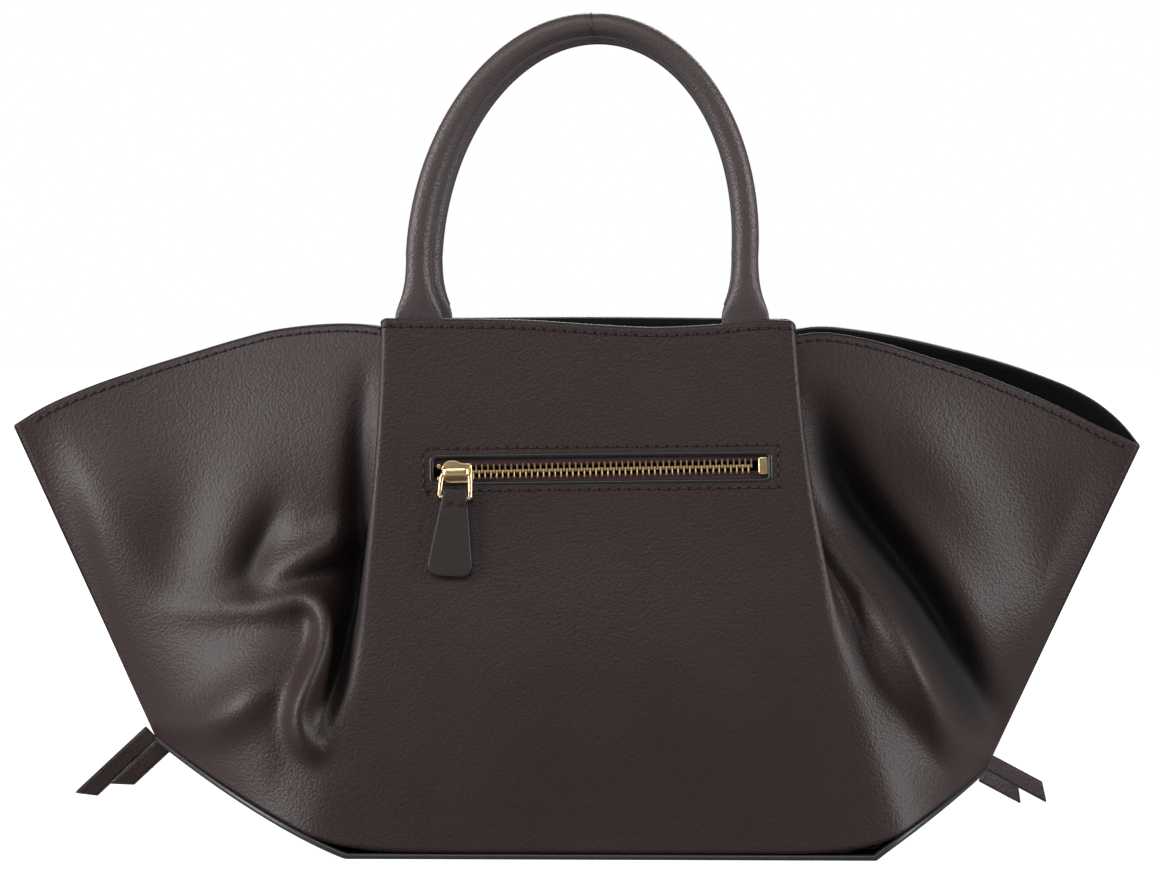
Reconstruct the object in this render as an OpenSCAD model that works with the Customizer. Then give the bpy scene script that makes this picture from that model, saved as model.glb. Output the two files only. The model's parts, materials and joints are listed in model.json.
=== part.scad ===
// Trapeze tote bag in soft leather, stood up and empty.
// The origin is on the floor under the middle of the centre panel.
// +X runs to the right along the bag, +Z is up, and the zip pocket faces -Y.

/* [Body] */
// Height of the centre panel's top edge
body_h = 224; // [190:1:260]
// Distance from the bag's middle to the left fold edge at the top
left_fold_x = 88; // [80:1:98]
// Distance from the bag's middle to the right fold edge at the top
right_fold_x = 87; // [80:1:98]
// How far the left fold edge flares outwards at the bottom
left_flare = 36; // [24:1:44]
// How far the right fold edge flares outwards at the bottom
right_flare = 48; // [34:1:54]
// Share of the right flare that starts straight away below the rim
right_flare_straight = 0.25; // [0:0.05:0.5]
// Distance between the outer faces of the two centre panels at the rim
mouth_depth = 84; // [74:1:100]
// Distance between the outer faces of the two panels at the base
base_depth = 144; // [120:1:160]

/* [Wings] */
// Left wing tip, distance from the middle
left_tip_x = 249; // [235:1:262]
// Left wing tip, height
left_tip_z = 178; // [160:1:190]
// Right wing tip, distance from the middle
right_tip_x = 235; // [222:1:250]
// Right wing tip, height
right_tip_z = 170; // [155:1:185]
// How far the left wing's edge starts below the centre panel's rim
left_drop = 2.5; // [1:0.5:8]
// How far the right wing's edge starts below the centre panel's rim
right_drop = 5.5; // [1:0.5:8]
// How far the far edge of the right wing stands up over the near one
far_lift = 13; // [0:1:16]
// How fast the left wing closes towards its tip
left_close = 2.3; // [1.4:0.1:3]
// How fast the right wing closes towards its tip
right_close = 1.15; // [1:0.05:2]
// Outward swell of the wings
wing_swell = 11; // [4:1:16]

/* [Base] */
// Left end of the flat base
left_base_x = 100; // [90:1:108]
// Right end of the flat base
right_base_x = 120; // [105:1:126]
// Left corner where the base meets the side seam, distance from the middle
left_corner_x = 188; // [178:1:200]
// Left corner height
left_corner_z = 42; // [30:1:52]
// Right corner where the base meets the side seam, distance from the middle
right_corner_x = 170; // [160:1:182]
// Right corner height
right_corner_z = 30; // [22:1:42]
// Thickness of the base leather
base_wall = 2; // [1.6:0.1:2.6]
// How far the base's painted edge stands out past the panels
base_lip = 0.9; // [0.4:0.1:1.6]
// Thickness of the stiff board inside the base
board_t = 1.8; // [1.2:0.1:2.6]

/* [Leather and pleats] */
// Thickness of the body leather
wall = 1.5; // [1.2:0.1:1.8]
// Leather folded back behind each edge of the centre panel
pleat_back = 12; // [10:1:14]
// Share of the height at which a pleat is folded right back
pleat_full = 0.92; // [0.8:0.02:1]
// Leather taken by each bend of a pleat
pleat_bend = 6.4; // [6:0.1:8]
// Thickness of the facing and the lining
lining_t = 0.8; // [0.6:0.1:1]
// Height of the leather facing inside the rim
facing_h = 27; // [20:1:34]
// Gap left between pieces that lie against each other
gap = 0.3; // [0.2:0.05:0.4]
// Thickness of the sewn strip between the panels at the side seams
seam_t = 0.6; // [0.4:0.1:1]
// Width of the sewn strip at the side seams
seam_w = 3; // [2:0.5:5]

/* [Handles] */
// Distance between the legs of a handle
leg_gap = 138; // [124:1:144]
// Middle of the handles, to the left of the bag's middle
handle_shift = 3; // [0:1:6]
// Height of the handle's crown, middle of the tube, above the rim
handle_rise = 125; // [100:1:150]
// Straight part of each leg above the rim
leg_straight = 28; // [18:1:40]
// How far the crown leans to the right
crown_lean = 5; // [0:1:8]
// Diameter of the tube at the crown
crown_d = 9.4; // [8:0.1:10.6]
// Diameter of the tube at the legs
leg_d = 10.8; // [9.6:0.1:11.6]
// Diameter of the cord inside the tube
core_d = 5.6; // [4:0.1:6.4]
// Width of the flared leg end where it turns
flare_w = 20; // [16:1:22]
// Diameter of the rolled end that the handle turns on
knuckle_d = 8; // [7:0.1:9]
// Thickness of the tongue sewn behind the rim
tongue_t = 1.6; // [1.2:0.1:1.9]
// Depth of the tongue below the rim
tongue_h = 24; // [16:1:30]

/* [Zip pocket] */
// Height of the zip's middle
zip_z = 162; // [150:1:176]
// Middle of the zip window, to the right of the bag's middle
zip_x = 5; // [0:1:10]
// Length of the window
window_w = 142; // [130:1:146]
// Height of the window
window_h = 11.3; // [10.5:0.1:13]
// Tilt of the chain in its window, right end up
chain_tilt = 1.3; // [0:0.1:1.5]
// Room between the closed slider and the left end of the window
slider_room = 2; // [1.6:0.2:6]
// Room between the bottom stop and the right end of the window
stop_room = 0.4; // [0.4:0.2:4]
// Distance between teeth on one side
tooth_pitch = 2.46; // [2.4:0.02:2.8]
// Width of a tooth
tooth_w = 0.9; // [0.8:0.05:1]
// Height of the closed chain
chain_h = 6.4; // [5.8:0.1:6.8]
// Thickness of the teeth
tooth_t = 2.4; // [2:0.1:2.6]
// How far each tooth reaches past the middle of the chain
tooth_reach = 0.8; // [0.5:0.1:1]
// Width of the tape on each side of the chain
tape_w = 10; // [9:0.5:12]
// Thickness of the tape
tape_t = 0.6; // [0.4:0.1:0.7]
// Depth of the pocket below the zip
pocket_h = 105; // [80:1:115]

/* [Slider and pull] */
// Length of the slider
slider_w = 13; // [11:0.5:14]
// Height of the slider
slider_h = 9.6; // [9:0.1:10.4]
// Thickness of each slider plate
plate_t = 0.9; // [0.7:0.1:1.1]
// Wire diameter of the pull ring
ring_d = 1.9; // [1.6:0.1:2.1]
// Width of the ring at the bridge, between wire middles
ring_top_w = 11; // [10.6:0.1:11.6]
// Width of the ring at the pull tab, between wire middles
ring_low_w = 12.8; // [12.6:0.1:13.6]
// Drop of the ring from the bridge to the pull tab
ring_drop = 11; // [9.5:0.5:14]
// Lean of the ring and tab to the left
ring_lean = 5; // [0:0.5:6]
// Length of the bridge on the slider
bridge_w = 7.6; // [6:0.1:8]
// Length of the leather pull tab
tab_l = 36; // [28:1:44]
// Width of the tab at its top
tab_top_w = 9.2; // [8:0.1:9.6]
// Greatest width of the tab
tab_w = 18.5; // [14:0.5:22]
// Thickness of the tab
tab_t = 2.8; // [2.2:0.1:3.2]
// Radius of the tab's lower corners
tab_corner = 5.5; // [3:0.5:6.5]

/* [Ties] */
// Width of the tie straps
tie_w = 8.4; // [6:0.2:9]
// Thickness of the tie straps
tie_t = 1.6; // [1.2:0.1:2]
// Length of the long tie ends
tie_long = 41; // [30:1:54]
// Length of the short tie ends
tie_short = 27; // [18:1:29]
// Angle of the left ties below level
left_tie_drop = 38; // [20:1:45]
// Angle of the right ties below level
right_tie_drop = 18; // [8:1:24]

/* [Closure] */
// Diameter of the magnetic snap
snap_d = 14; // [12:0.5:18]
// Height of the snap's middle below the rim
snap_below = 15; // [13:0.5:17]
// Thickness of each snap half
snap_t = 2.4; // [2:0.1:3]

/* [Hidden] */
$fn = 40;

leather = [0.20, 0.14, 0.13];
inner_leather = [0.13, 0.10, 0.10];
edge_paint = [0.13, 0.14, 0.17];
cloth = [0.16, 0.12, 0.11];
tape_brown = [0.26, 0.15, 0.13];
brass = [0.80, 0.64, 0.34];
cord_grey = [0.75, 0.73, 0.68];

// Rows up a panel, and columns across each of its parts
rows = 14;
wing_cols = 12;
bend_cols = 5;
back_cols = 2;
centre_cols = 6;

// A value that eases from 0 to 1, and one between two others
function ease(a) = let (c = min(1, max(0, a))) c * c * (3 - 2 * c);
function mix(a, b, f) = a + (b - a) * f;

// The two sides of the bag differ a little, as it is posed: -1 is left, 1 is right
function fold_x(s) = s < 0 ? left_fold_x : right_fold_x;
function tip_x(s) = s < 0 ? left_tip_x : right_tip_x;
function tip_z(s) = s < 0 ? left_tip_z : right_tip_z;
function base_x(s) = s < 0 ? left_base_x : right_base_x;
function corner_x(s) = s < 0 ? left_corner_x : right_corner_x;
function corner_z(s) = s < 0 ? left_corner_z : right_corner_z;
function close_power(s) = s < 0 ? left_close : right_close;
rise_power = 1.1;
plan_power = 1.8;
brow = [12, 9];

// Height of the underside of the base over the floor, and its half depth, at a distance x from the middle
function end_share(x, s) = min(1, max(0, (x - base_x(s)) / (corner_x(s) - base_x(s))));
function base_rise(x, s) = corner_z(s) * pow(end_share(x, s), s < 0 ? rise_power : 2 - rise_power);
seam_y = seam_t / 2 + gap / 2 + wall / 2;
function seam_half_depth(x, s) =
    seam_y + (base_depth / 2 - wall / 2 - seam_y) * (1 - pow(end_share(x, s), plan_power));
seam_lift = base_wall + gap;

// Height of a wing's top edge at a distance x from the middle
function wing_start_z(s) = body_h - (s < 0 ? left_drop : right_drop);
function wing_top_z(x, s, lift) =
    let (x0 = fold_x(s) + brow[s < 0 ? 0 : 1],
         share = min(1, max(0, (x - x0) / (tip_x(s) - x0))),
         along = min(1, max(0, (x - fold_x(s)) / (tip_x(s) - fold_x(s)))))
    wing_start_z(s) - (wing_start_z(s) - tip_z(s)) * pow(share, s < 0 ? 1.53 : 1.4)
    + (s > 0 ? lift * along * (1 - pow(along, 8)) : 0);

// A pleat in plan is an S: the leather turns by an angle, runs on, and turns back.
// The angle is a full half turn at the rim and dies away towards the base.
function pleat_turn(t) = max(0.5, 180 * ease(t / pleat_full));
pleat_len = 2 * pleat_bend + pleat_back;
function pleat_radius(th) = pleat_bend / (th * PI / 180);
function pleat_at(q, th) =
    let (r = pleat_radius(th), d = q * pleat_len, a1 = th * d / pleat_bend,
         a2 = th * (pleat_len - d) / pleat_bend)
    d <= pleat_bend ? [r * sin(a1), r * (1 - cos(a1))]
    : d <= pleat_bend + pleat_back
      ? [r * sin(th) + (d - pleat_bend) * cos(th), r * (1 - cos(th)) + (d - pleat_bend) * sin(th)]
      : [2 * r * sin(th) + pleat_back * cos(th) - r * sin(a2),
         2 * r * (1 - cos(th)) + pleat_back * sin(th) - r * (1 - cos(a2))];

// Distance of the fold edge from the middle, and where the flat of the centre panel ends
function edge_x(t, s) =
    fold_x(s) + (s < 0 ? left_flare * pow(1 - t, 2)
                       : right_flare * (right_flare_straight * (1 - t)
                                        + (1 - right_flare_straight) * pow(1 - t, 2)));
function flat_x(t, s) =
    let (th = pleat_turn(t)) edge_x(t, s) - pleat_radius(th) * sin(min(90, th)) - wall / 2;
top_y = mouth_depth / 2 - wall / 2;
base_y = base_depth / 2 - wall / 2;

// Half depth of the centre panel where its bottom edge stands at x: flat but for its lower corners
function centre_half(x0, s, t) =
    mix(base_y, top_y, t) - (base_y - seam_half_depth(x0, s)) * pow(1 - t, 3);

// Where a pleat ends and its wing starts: distance from the middle and half depth
function wing_start(t, s) =
    let (p = pleat_at(1, pleat_turn(t)), x0 = flat_x(0, s), x1 = x0 + pleat_at(1, pleat_turn(0))[0],
         step = seam_half_depth(x0, s) - seam_half_depth(x1, s))
    [flat_x(t, s) + p[0], centre_half(x0, s, t) - p[1] - step * pow(1 - t, 3)];

function side_x(t, s) = mix(corner_x(s), tip_x(s), t);
function hump(v) = v / 0.3 * exp(1 - v / 0.3) * (1 - pow(v, 4));

// The middle surface of a panel: points in [distance from middle, half depth, height]
function wing_at(v, t, s, lift) =
    let (w = wing_start(t, s), x = mix(w[0], side_x(t, s), v),
         x0 = mix(wing_start(0, s)[0], corner_x(s), v),
         x1 = mix(wing_start(1, s)[0], tip_x(s), v),
         low = (seam_half_depth(x0, s) - seam_y) / (wing_start(0, s)[1] - seam_y),
         high = pow(1 - v, close_power(s)),
         g = mix(low, high, pow(t, 1.3)),
         z0 = seam_lift + base_rise(x0, s), z1 = wing_top_z(x1, s, lift))
    [x, seam_y + (w[1] - seam_y) * g + wing_swell * 4 * t * (1 - t) * hump(v), mix(z0, z1, t)];
function pleat_point(q, t, s) =
    let (p = pleat_at(q, pleat_turn(t)), x0 = flat_x(0, s), xq = x0 + pleat_at(q, pleat_turn(0))[0],
         step = seam_half_depth(x0, s) - seam_half_depth(xq, s),
         z0 = seam_lift + base_rise(xq, s), z1 = mix(body_h, wing_start_z(s), q))
    [flat_x(t, s) + p[0], centre_half(x0, s, t) - p[1] - step * pow(1 - t, 3), mix(z0, z1, t)];
function centre_point(c, t) =
    let (x = mix(-flat_x(t, -1), flat_x(t, 1), c), x0 = mix(-flat_x(0, -1), flat_x(0, 1), c),
         s = x0 < 0 ? -1 : 1)
    [x, -centre_half(abs(x0), s, t), mix(seam_lift + base_rise(abs(x0), s), body_h, t)];
function placed(p, s) = [s * p[0], -p[1], p[2]];

// Columns of a whole panel from the left tip to the right one
pleat_steps = [for (i = [1:bend_cols]) i / bend_cols * pleat_bend / pleat_len,
               for (i = [1:back_cols]) (pleat_bend + i / back_cols * pleat_back) / pleat_len,
               for (i = [1:bend_cols]) (pleat_bend + pleat_back + i / bend_cols * pleat_bend) / pleat_len];
pleat_n = len(pleat_steps);
// Row heights as shares of a panel's height
row_t = [for (j = [0:rows]) j / rows];
function panel_grid(lift) =
    [for (i = [wing_cols:-1:1]) [for (t = row_t) placed(wing_at(i / wing_cols, t, -1, lift), -1)],
     for (i = [pleat_n - 1:-1:0]) [for (t = row_t) placed(pleat_point(pleat_steps[i], t, -1), -1)],
     for (i = [0:centre_cols]) [for (t = row_t) centre_point(i / centre_cols, t)],
     for (i = [0:pleat_n - 1]) [for (t = row_t) placed(pleat_point(pleat_steps[i], t, 1), 1)],
     for (i = [1:wing_cols]) [for (t = row_t) placed(wing_at(i / wing_cols, t, 1, lift), 1)]];

// Lining points: the wing surface, then straight past the pleats and forward behind the centre panel
function tuck(x, t, s) = ease((flat_x(t, s) - pleat_back - 2 * wall - 3 - x) / 16);
function lining_wing(v, t, s, lift) = placed(wing_at(v, t, s, lift), s);
function lining_centre(c, t, room) =
    let (x = mix(-wing_start(t, -1)[0], wing_start(t, 1)[0], c), s = x < 0 ? -1 : 1,
         x0 = abs(x) * flat_x(0, s) / flat_x(t, s), f = tuck(abs(x), t, s),
         near = centre_half(min(x0, flat_x(0, s)), s, t) - room,
         edge = wing_start(0, s)[0], x1 = min(abs(x) * edge / wing_start(t, s)[0], edge))
    [x, -mix(wing_start(t, s)[1], near, f),
     mix(seam_lift + base_rise(x1, s), mix(body_h, wing_start_z(s), 1 - f), t)];

// Unit normals of a grid of points, out of the bag, from the neighbours of each point
function cell(g, i, j) = g[min(len(g) - 1, max(0, i))][min(len(g[0]) - 1, max(0, j))];
function grid_normal(g, i, j) =
    let (n = cross(cell(g, i + 1, j) - cell(g, i - 1, j), cell(g, i, j + 1) - cell(g, i, j - 1)))
    n / norm(n);
function offset_grid(g, d) =
    [for (i = [0:len(g) - 1]) [for (j = [0:len(g[0]) - 1]) g[i][j] + d * grid_normal(g, i, j)]];

// A closed shell between two grids of the same size
module shell(outer, inner) {
    nc = len(outer);
    nr = len(outer[0]);
    n = nc * nr;
    function o(i, j) = i * nr + j;
    function u(i, j) = n + i * nr + j;
    faces = [
        for (i = [0:nc - 2], j = [0:nr - 2]) each
            [[o(i, j), o(i, j + 1), o(i + 1, j + 1)], [o(i, j), o(i + 1, j + 1), o(i + 1, j)],
             [u(i, j), u(i + 1, j + 1), u(i, j + 1)], [u(i, j), u(i + 1, j), u(i + 1, j + 1)]],
        for (i = [0:nc - 2]) each
            [[o(i, 0), o(i + 1, 0), u(i + 1, 0)], [o(i, 0), u(i + 1, 0), u(i, 0)],
             [o(i + 1, nr - 1), o(i, nr - 1), u(i, nr - 1)],
             [o(i + 1, nr - 1), u(i, nr - 1), u(i + 1, nr - 1)]],
        for (j = [0:nr - 2]) each
            [[o(0, j + 1), o(0, j), u(0, j)], [o(0, j + 1), u(0, j), u(0, j + 1)],
             [o(nc - 1, j), o(nc - 1, j + 1), u(nc - 1, j + 1)],
             [o(nc - 1, j), u(nc - 1, j + 1), u(nc - 1, j)]]];
    polyhedron([for (c = outer) each c, for (c = inner) each c], faces, convexity = 12);
}

module panel(lift) {
    g = panel_grid(lift);
    shell(offset_grid(g, wall / 2), offset_grid(g, -wall / 2));
}

// Lies in the plane of the back centre panel: x along it, y into the bag, z up it
lean = atan((base_y - top_y) / (body_h - seam_lift));
module on_back_panel(x, z) {
    translate([x, -mix(base_y, top_y, (z - seam_lift) / (body_h - seam_lift)), z])
        rotate([-lean, 0, 0]) children();
}
// The chain fills the window, less the closed slider on its left and the bottom stop on its right
box_w = 4.2;
box_lead = 0.4;
stop_w = box_lead + box_w + stop_room;
chain_w = window_w - slider_w - slider_room - stop_w;
chain_x = zip_x + (slider_w + slider_room - stop_w) / 2;
module on_chain(x = 0) {
    on_back_panel(chain_x, zip_z) rotate([0, -chain_tilt, 0]) translate([x, 0, 0]) children();
}

window_r = 2;
module window_shape(grow) {
    w = window_w / 2 + grow - window_r;
    h = window_h / 2 + grow - window_r;
    polygon([for (k = [0:3], a = [0:15:90])
        let (cx = (k == 0 || k == 3) ? w : -w, cz = k < 2 ? h : -h)
        [cx + window_r * cos(a + 90 * k), cz + window_r * sin(a + 90 * k)]]);
}

module back_panel() {
    color(leather) difference() {
        panel(0);
        on_back_panel(zip_x, zip_z) rotate([90, 0, 0]) linear_extrude(6 * wall, center = true)
            window_shape(0);
    }
}
module front_panel() {
    color(leather) mirror([0, 1, 0]) panel(far_lift);
}

// The base is flat in the middle and rises to a point at each side seam
base_cols = 8;
base_shares = [-1, -0.5, 0, 0.5, 1];
function base_stations(end) =
    [for (i = [base_cols:-1:0]) -mix(left_base_x, left_corner_x, end * i / base_cols),
     for (i = [0:base_cols]) mix(right_base_x, right_corner_x, end * i / base_cols)];
function base_grid(lift, inset, end) =
    [for (x = base_stations(end)) [for (w = base_shares)
        let (s = x < 0 ? -1 : 1)
        [x, w * (seam_half_depth(abs(x), s) + wall / 2 - inset), lift + base_rise(abs(x), s)]]];
module base_panel() {
    color(leather) shell(base_grid(0, -base_lip, 1), base_grid(base_wall, -base_lip, 1));
}
board_inset = wall + 2.5;
board_end = 3;
board_z = base_wall + gap;
module base_board() {
    color(cloth) translate([-left_base_x + board_end, -base_depth / 2 + board_inset, board_z])
        cube([left_base_x + right_base_x - 2 * board_end, base_depth - 2 * board_inset, board_t]);
}
base_lining_z = board_z + board_t + gap;
base_lining_inset = wall + 3.5;
base_lining_end = 0.7;
module base_lining() {
    color(cloth) shell(base_grid(base_lining_z, base_lining_inset, base_lining_end),
                       base_grid(base_lining_z + lining_t, base_lining_inset, base_lining_end));
}

// The lining sheets and the facing end short of the tips, where the wings close
lining_cols = 8;
lining_centre_cols = 14;
sheet_gap = 2 * gap;
sheet_half = wall / 2 + sheet_gap + lining_t;
function sheet_end(s) =
    1 - pow((sheet_half + gap - seam_y + 0.5) / (wing_start(1, s)[1] - seam_y), 1 / close_power(s)) - 0.03;
pocket_room = 5.4;
function room_at(t) = mix(pocket_room, 0, ease((t - 0.8) / 0.07));
function sheet_grid(ts, lift) =
    [for (i = [lining_cols:-1:1]) [for (t = ts) lining_wing(sheet_end(-1) * i / lining_cols, t, -1, lift)],
     for (i = [0:lining_centre_cols]) [for (t = ts) lining_centre(i / lining_centre_cols, t, room_at(t))],
     for (i = [1:lining_cols]) [for (t = ts) lining_wing(sheet_end(1) * i / lining_cols, t, 1, lift)]];
facing_share = 1 - facing_h / body_h;
module sheet(t0, t1, n, lift) {
    g = sheet_grid([for (j = [0:n]) mix(t0, t1, j / n)], lift);
    shell(offset_grid(g, -wall / 2 - sheet_gap), offset_grid(g, -sheet_half));
}
lining_bottom = 0.05;
lining_top = facing_share - 0.003;
lining_rows = 9;
facing_rows = 2;
module back_lining() {
    color(cloth) sheet(lining_bottom, lining_top, lining_rows, 0);
}
module front_lining() {
    color(cloth) mirror([0, 1, 0]) sheet(lining_bottom, lining_top, lining_rows, far_lift);
}
module back_facing() {
    color(inner_leather) sheet(facing_share, 1, facing_rows, 0);
}
module front_facing() {
    color(inner_leather) mirror([0, 1, 0]) sheet(facing_share, 1, facing_rows, far_lift);
}

// The strip between the panels' side edges
module side_seam(s) {
    low = placed(wing_at(1, 0, s, 0), s);
    high = placed(wing_at(1, 1, s, 0), s);
    run = norm([high[0] - low[0], high[2] - low[2]]);
    angle = atan2(high[2] - low[2], high[0] - low[0]);
    color(edge_paint) translate([low[0], seam_t / 2, low[2]]) rotate([0, -angle, 0])
        translate([0, -seam_t, s < 0 ? -seam_w : 0]) cube([run, seam_t, seam_w]);
}
module left_side_seam() { side_seam(-1); }
module right_side_seam() { side_seam(1); }

// Zip: a painted frame round the window, tapes behind the leather, and two rows of teeth
tape_y = wall / 2 + 0.1 + tape_t / 2;
frame_w = 2.4;
frame_t = 0.5;
module zip_frame() {
    color(edge_paint) on_back_panel(zip_x, zip_z) rotate([90, 0, 0])
        translate([0, 0, -tape_y - tape_t / 2 - gap / 2 - frame_t]) linear_extrude(frame_t)
            difference() {
                window_shape(frame_w);
                window_shape(0);
            }
}
tooth_root = chain_h / 2;
tape_edge = tooth_root - 1.1;
// The tapes run past both ends of the window, behind the panel
tape_over = 2;
module zip_tape(up) {
    left = -chain_w / 2 - slider_w - slider_room - tape_over;
    color(tape_brown) on_chain()
        translate([left, tape_y - tape_t / 2, up > 0 ? tape_edge : -tape_edge - tape_w])
            cube([chain_w / 2 + stop_w + tape_over - left, tape_t, tape_w]);
}
module zip_tape_upper() { zip_tape(1); }
module zip_tape_lower() { zip_tape(-1); }

// A tooth clamps the tape edge between two jaws and carries a head that fills the gap between
// the two facing teeth of the other row
module tooth(up) {
    translate([-tooth_w / 2, tape_y, 0]) mirror([0, 0, up > 0 ? 0 : 1]) {
        translate([0, -tooth_t / 2, -tooth_reach]) cube([tooth_w, tooth_t, tape_edge + tooth_reach - 0.1]);
        for (side = [0, 1]) mirror([0, side, 0])
            translate([0, tape_t / 2 + 0.05, tape_edge - 0.2])
                cube([tooth_w, tooth_t / 2 - tape_t / 2 - 0.05, tooth_root - tape_edge + 0.2]);
    }
}
teeth_n = floor(chain_w / tooth_pitch) - 1;
module teeth(up) {
    color(brass) on_chain() for (k = [0:teeth_n - 1])
        translate([(k - (teeth_n - 1) / 2) * tooth_pitch + up * tooth_pitch / 4, 0, 0]) tooth(up);
}
module zip_teeth_upper() { teeth(1); }
module zip_teeth_lower() { teeth(-1); }
// A stop is clamped over each tape's edge, to the left of the closed slider
stop_h = 2;
stop_l = 1.6;
stop_t = 0.8;
stop_edge = tape_edge - 0.5;
module zip_top_stops() {
    color(brass) for (up = [-1, 1], side = [-1, 1]) on_chain(slider_x - slider_w / 2 - gap - stop_l)
        translate([0, tape_y + side * (tape_t + stop_t + 0.1) / 2 - stop_t / 2,
                   up > 0 ? stop_edge : -stop_edge - stop_h])
            cube([stop_l, stop_t, stop_h]);
}
box_h = 7.4;
box_x = chain_w / 2 + box_lead;
module zip_bottom_stop() {
    chamfer = 1;
    color(brass) on_chain(box_x + box_w / 2) translate([0, tape_y - tape_t / 2 - 0.1, 0])
        rotate([90, 0, 0]) linear_extrude(1.3)
            polygon([for (k = [0:3]) each
                let (sx = (k == 0 || k == 3) ? 1 : -1, sz = k < 2 ? 1 : -1)
                (k % 2 == 0
                 ? [[sx * box_w / 2, sz * (box_h / 2 - chamfer)], [sx * (box_w / 2 - chamfer), sz * box_h / 2]]
                 : [[sx * (box_w / 2 - chamfer), sz * box_h / 2], [sx * box_w / 2, sz * (box_h / 2 - chamfer)]])]);
}

// The pocket is a flat cloth bag hung behind the zip
pocket_t = 0.6;
pocket_y = tape_y + tooth_t / 2 + plate_t + 2 * gap + 0.5;
pocket_over = 12;
module zip_pocket_bag() {
    w = window_w - 2;
    color(cloth) on_back_panel(zip_x, zip_z) difference() {
        translate([-w / 2, pocket_y, -pocket_h])
            cube([w, 2 * pocket_t + gap, pocket_h + pocket_over]);
        translate([-w / 2 + pocket_t, pocket_y + pocket_t, -pocket_h + pocket_t])
            cube([w - 2 * pocket_t, gap, pocket_h + pocket_over]);
        translate([-window_w / 2, pocket_y - 1, -window_h / 2])
            cube([window_w, 1 + pocket_t + gap / 2, window_h]);
    }
}

// The slider grips both rows between two plates that meet at its nose
plate_y = -wall / 2 - gap - plate_t;
under_y = tape_y + tooth_t / 2 + gap;
slider_x = -chain_w / 2 - slider_w / 2 + 2.2;
bar_y = plate_y - gap - ring_d / 2;
bridge_wall = 0.9;
tunnel = ring_d / 2 + gap + bridge_w / 2 * tan(ring_lean);
module plate_outline() {
    w = slider_w / 2;
    h = slider_h / 2;
    cut = h * 0.55;
    polygon([[-w, -cut], [-w, cut], [-w * 0.45, h], [w - 1.2, h], [w, h - 1.2], [w, 1.6 - h], [w - 1.2, -h],
             [-w * 0.45, -h]]);
}
module slider_body() {
    nose_w = 2.4;
    color(brass) on_chain(slider_x) {
        translate([0, plate_y + plate_t, 0]) rotate([90, 0, 0]) linear_extrude(plate_t) plate_outline();
        translate([0, under_y + plate_t, 0]) rotate([90, 0, 0]) linear_extrude(plate_t) plate_outline();
        translate([-slider_w / 2, plate_y + plate_t / 2, -1.1])
            cube([nose_w, under_y - plate_y, 2.2]);
        // The bridge is a tunnel along the slider that the ring's bar lies in
        difference() {
            translate([-bridge_w / 2, bar_y - tunnel - bridge_wall, -tunnel - bridge_wall])
                cube([bridge_w, plate_y - bar_y + tunnel + bridge_wall + plate_t / 2,
                      2 * (tunnel + bridge_wall)]);
            translate([-bridge_w, bar_y - tunnel, -tunnel]) cube([2 * bridge_w, 2 * tunnel, 2 * tunnel]);
        }
    }
}

// A rod with round ends between two points
module rod(a, b, r) {
    d = b - a;
    translate(a) rotate([0, acos(d[2] / norm(d)), atan2(d[1], d[0])]) cylinder(h = norm(d), r = r);
}
module on_ring() { on_chain(slider_x) translate([0, bar_y, 0]) rotate([0, ring_lean, 0]) children(); }
pin_r = 0.75;
pin_in = 2.2;
module pull_ring() {
    r = ring_d / 2;
    top = ring_top_w / 2;
    low = ring_low_w / 2;
    color(brass) on_ring() {
        rod([-top, 0, 0], [top, 0, 0], r);
        for (s = [-1, 1]) {
            translate([s * top, 0, 0]) sphere(r);
            rod([s * top, 0, 0], [s * low, 0, -ring_drop], r);
            translate([s * low, 0, -ring_drop]) sphere(r);
            rod([s * low, 0, -ring_drop], [s * (tab_top_w / 2 - pin_in), 0, -ring_drop], pin_r);
        }
    }
}
// The leather tab widens downwards, with round lower corners, and turns on the ring's two ends
tab_above = 3;
tab_bevel = 1.9;
module tab_outline() {
    side = (tab_w - tab_top_w) / 2;
    low = tab_above - tab_l;
    slope = atan2(side, tab_l - tab_corner);
    polygon([[-tab_top_w / 2, tab_above], [tab_top_w / 2, tab_above],
             for (a = [slope:-15:-90]) [tab_w / 2 - tab_corner + tab_corner * cos(a), low + tab_corner + tab_corner * sin(a)],
             for (a = [-90:-15:-180 - slope]) [-tab_w / 2 + tab_corner + tab_corner * cos(a), low + tab_corner + tab_corner * sin(a)]]);
}
module pull_tab() {
    color(leather) on_ring() translate([0, 0, -ring_drop]) difference() {
        translate([0, tab_t / 2, 0]) rotate([90, 0, 0]) linear_extrude(tab_t) tab_outline();
        // The back of the top end is skived so that the tab can swing out
        rotate([90, 0, 90]) linear_extrude(2 * tab_w, center = true)
            polygon([[tab_t / 2 - tab_bevel, tab_above + 0.01], [tab_t / 2 + 0.01, tab_above + 0.01],
                     [tab_t / 2 + 0.01, pin_r + 0.5]]);
        for (s = [-1, 1]) translate([s * (tab_top_w / 2 - pin_in - gap), 0, 0])
            rotate([0, s * 90, 0]) cylinder(h = tab_top_w, r = pin_r + 0.08);
    }
}

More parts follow.
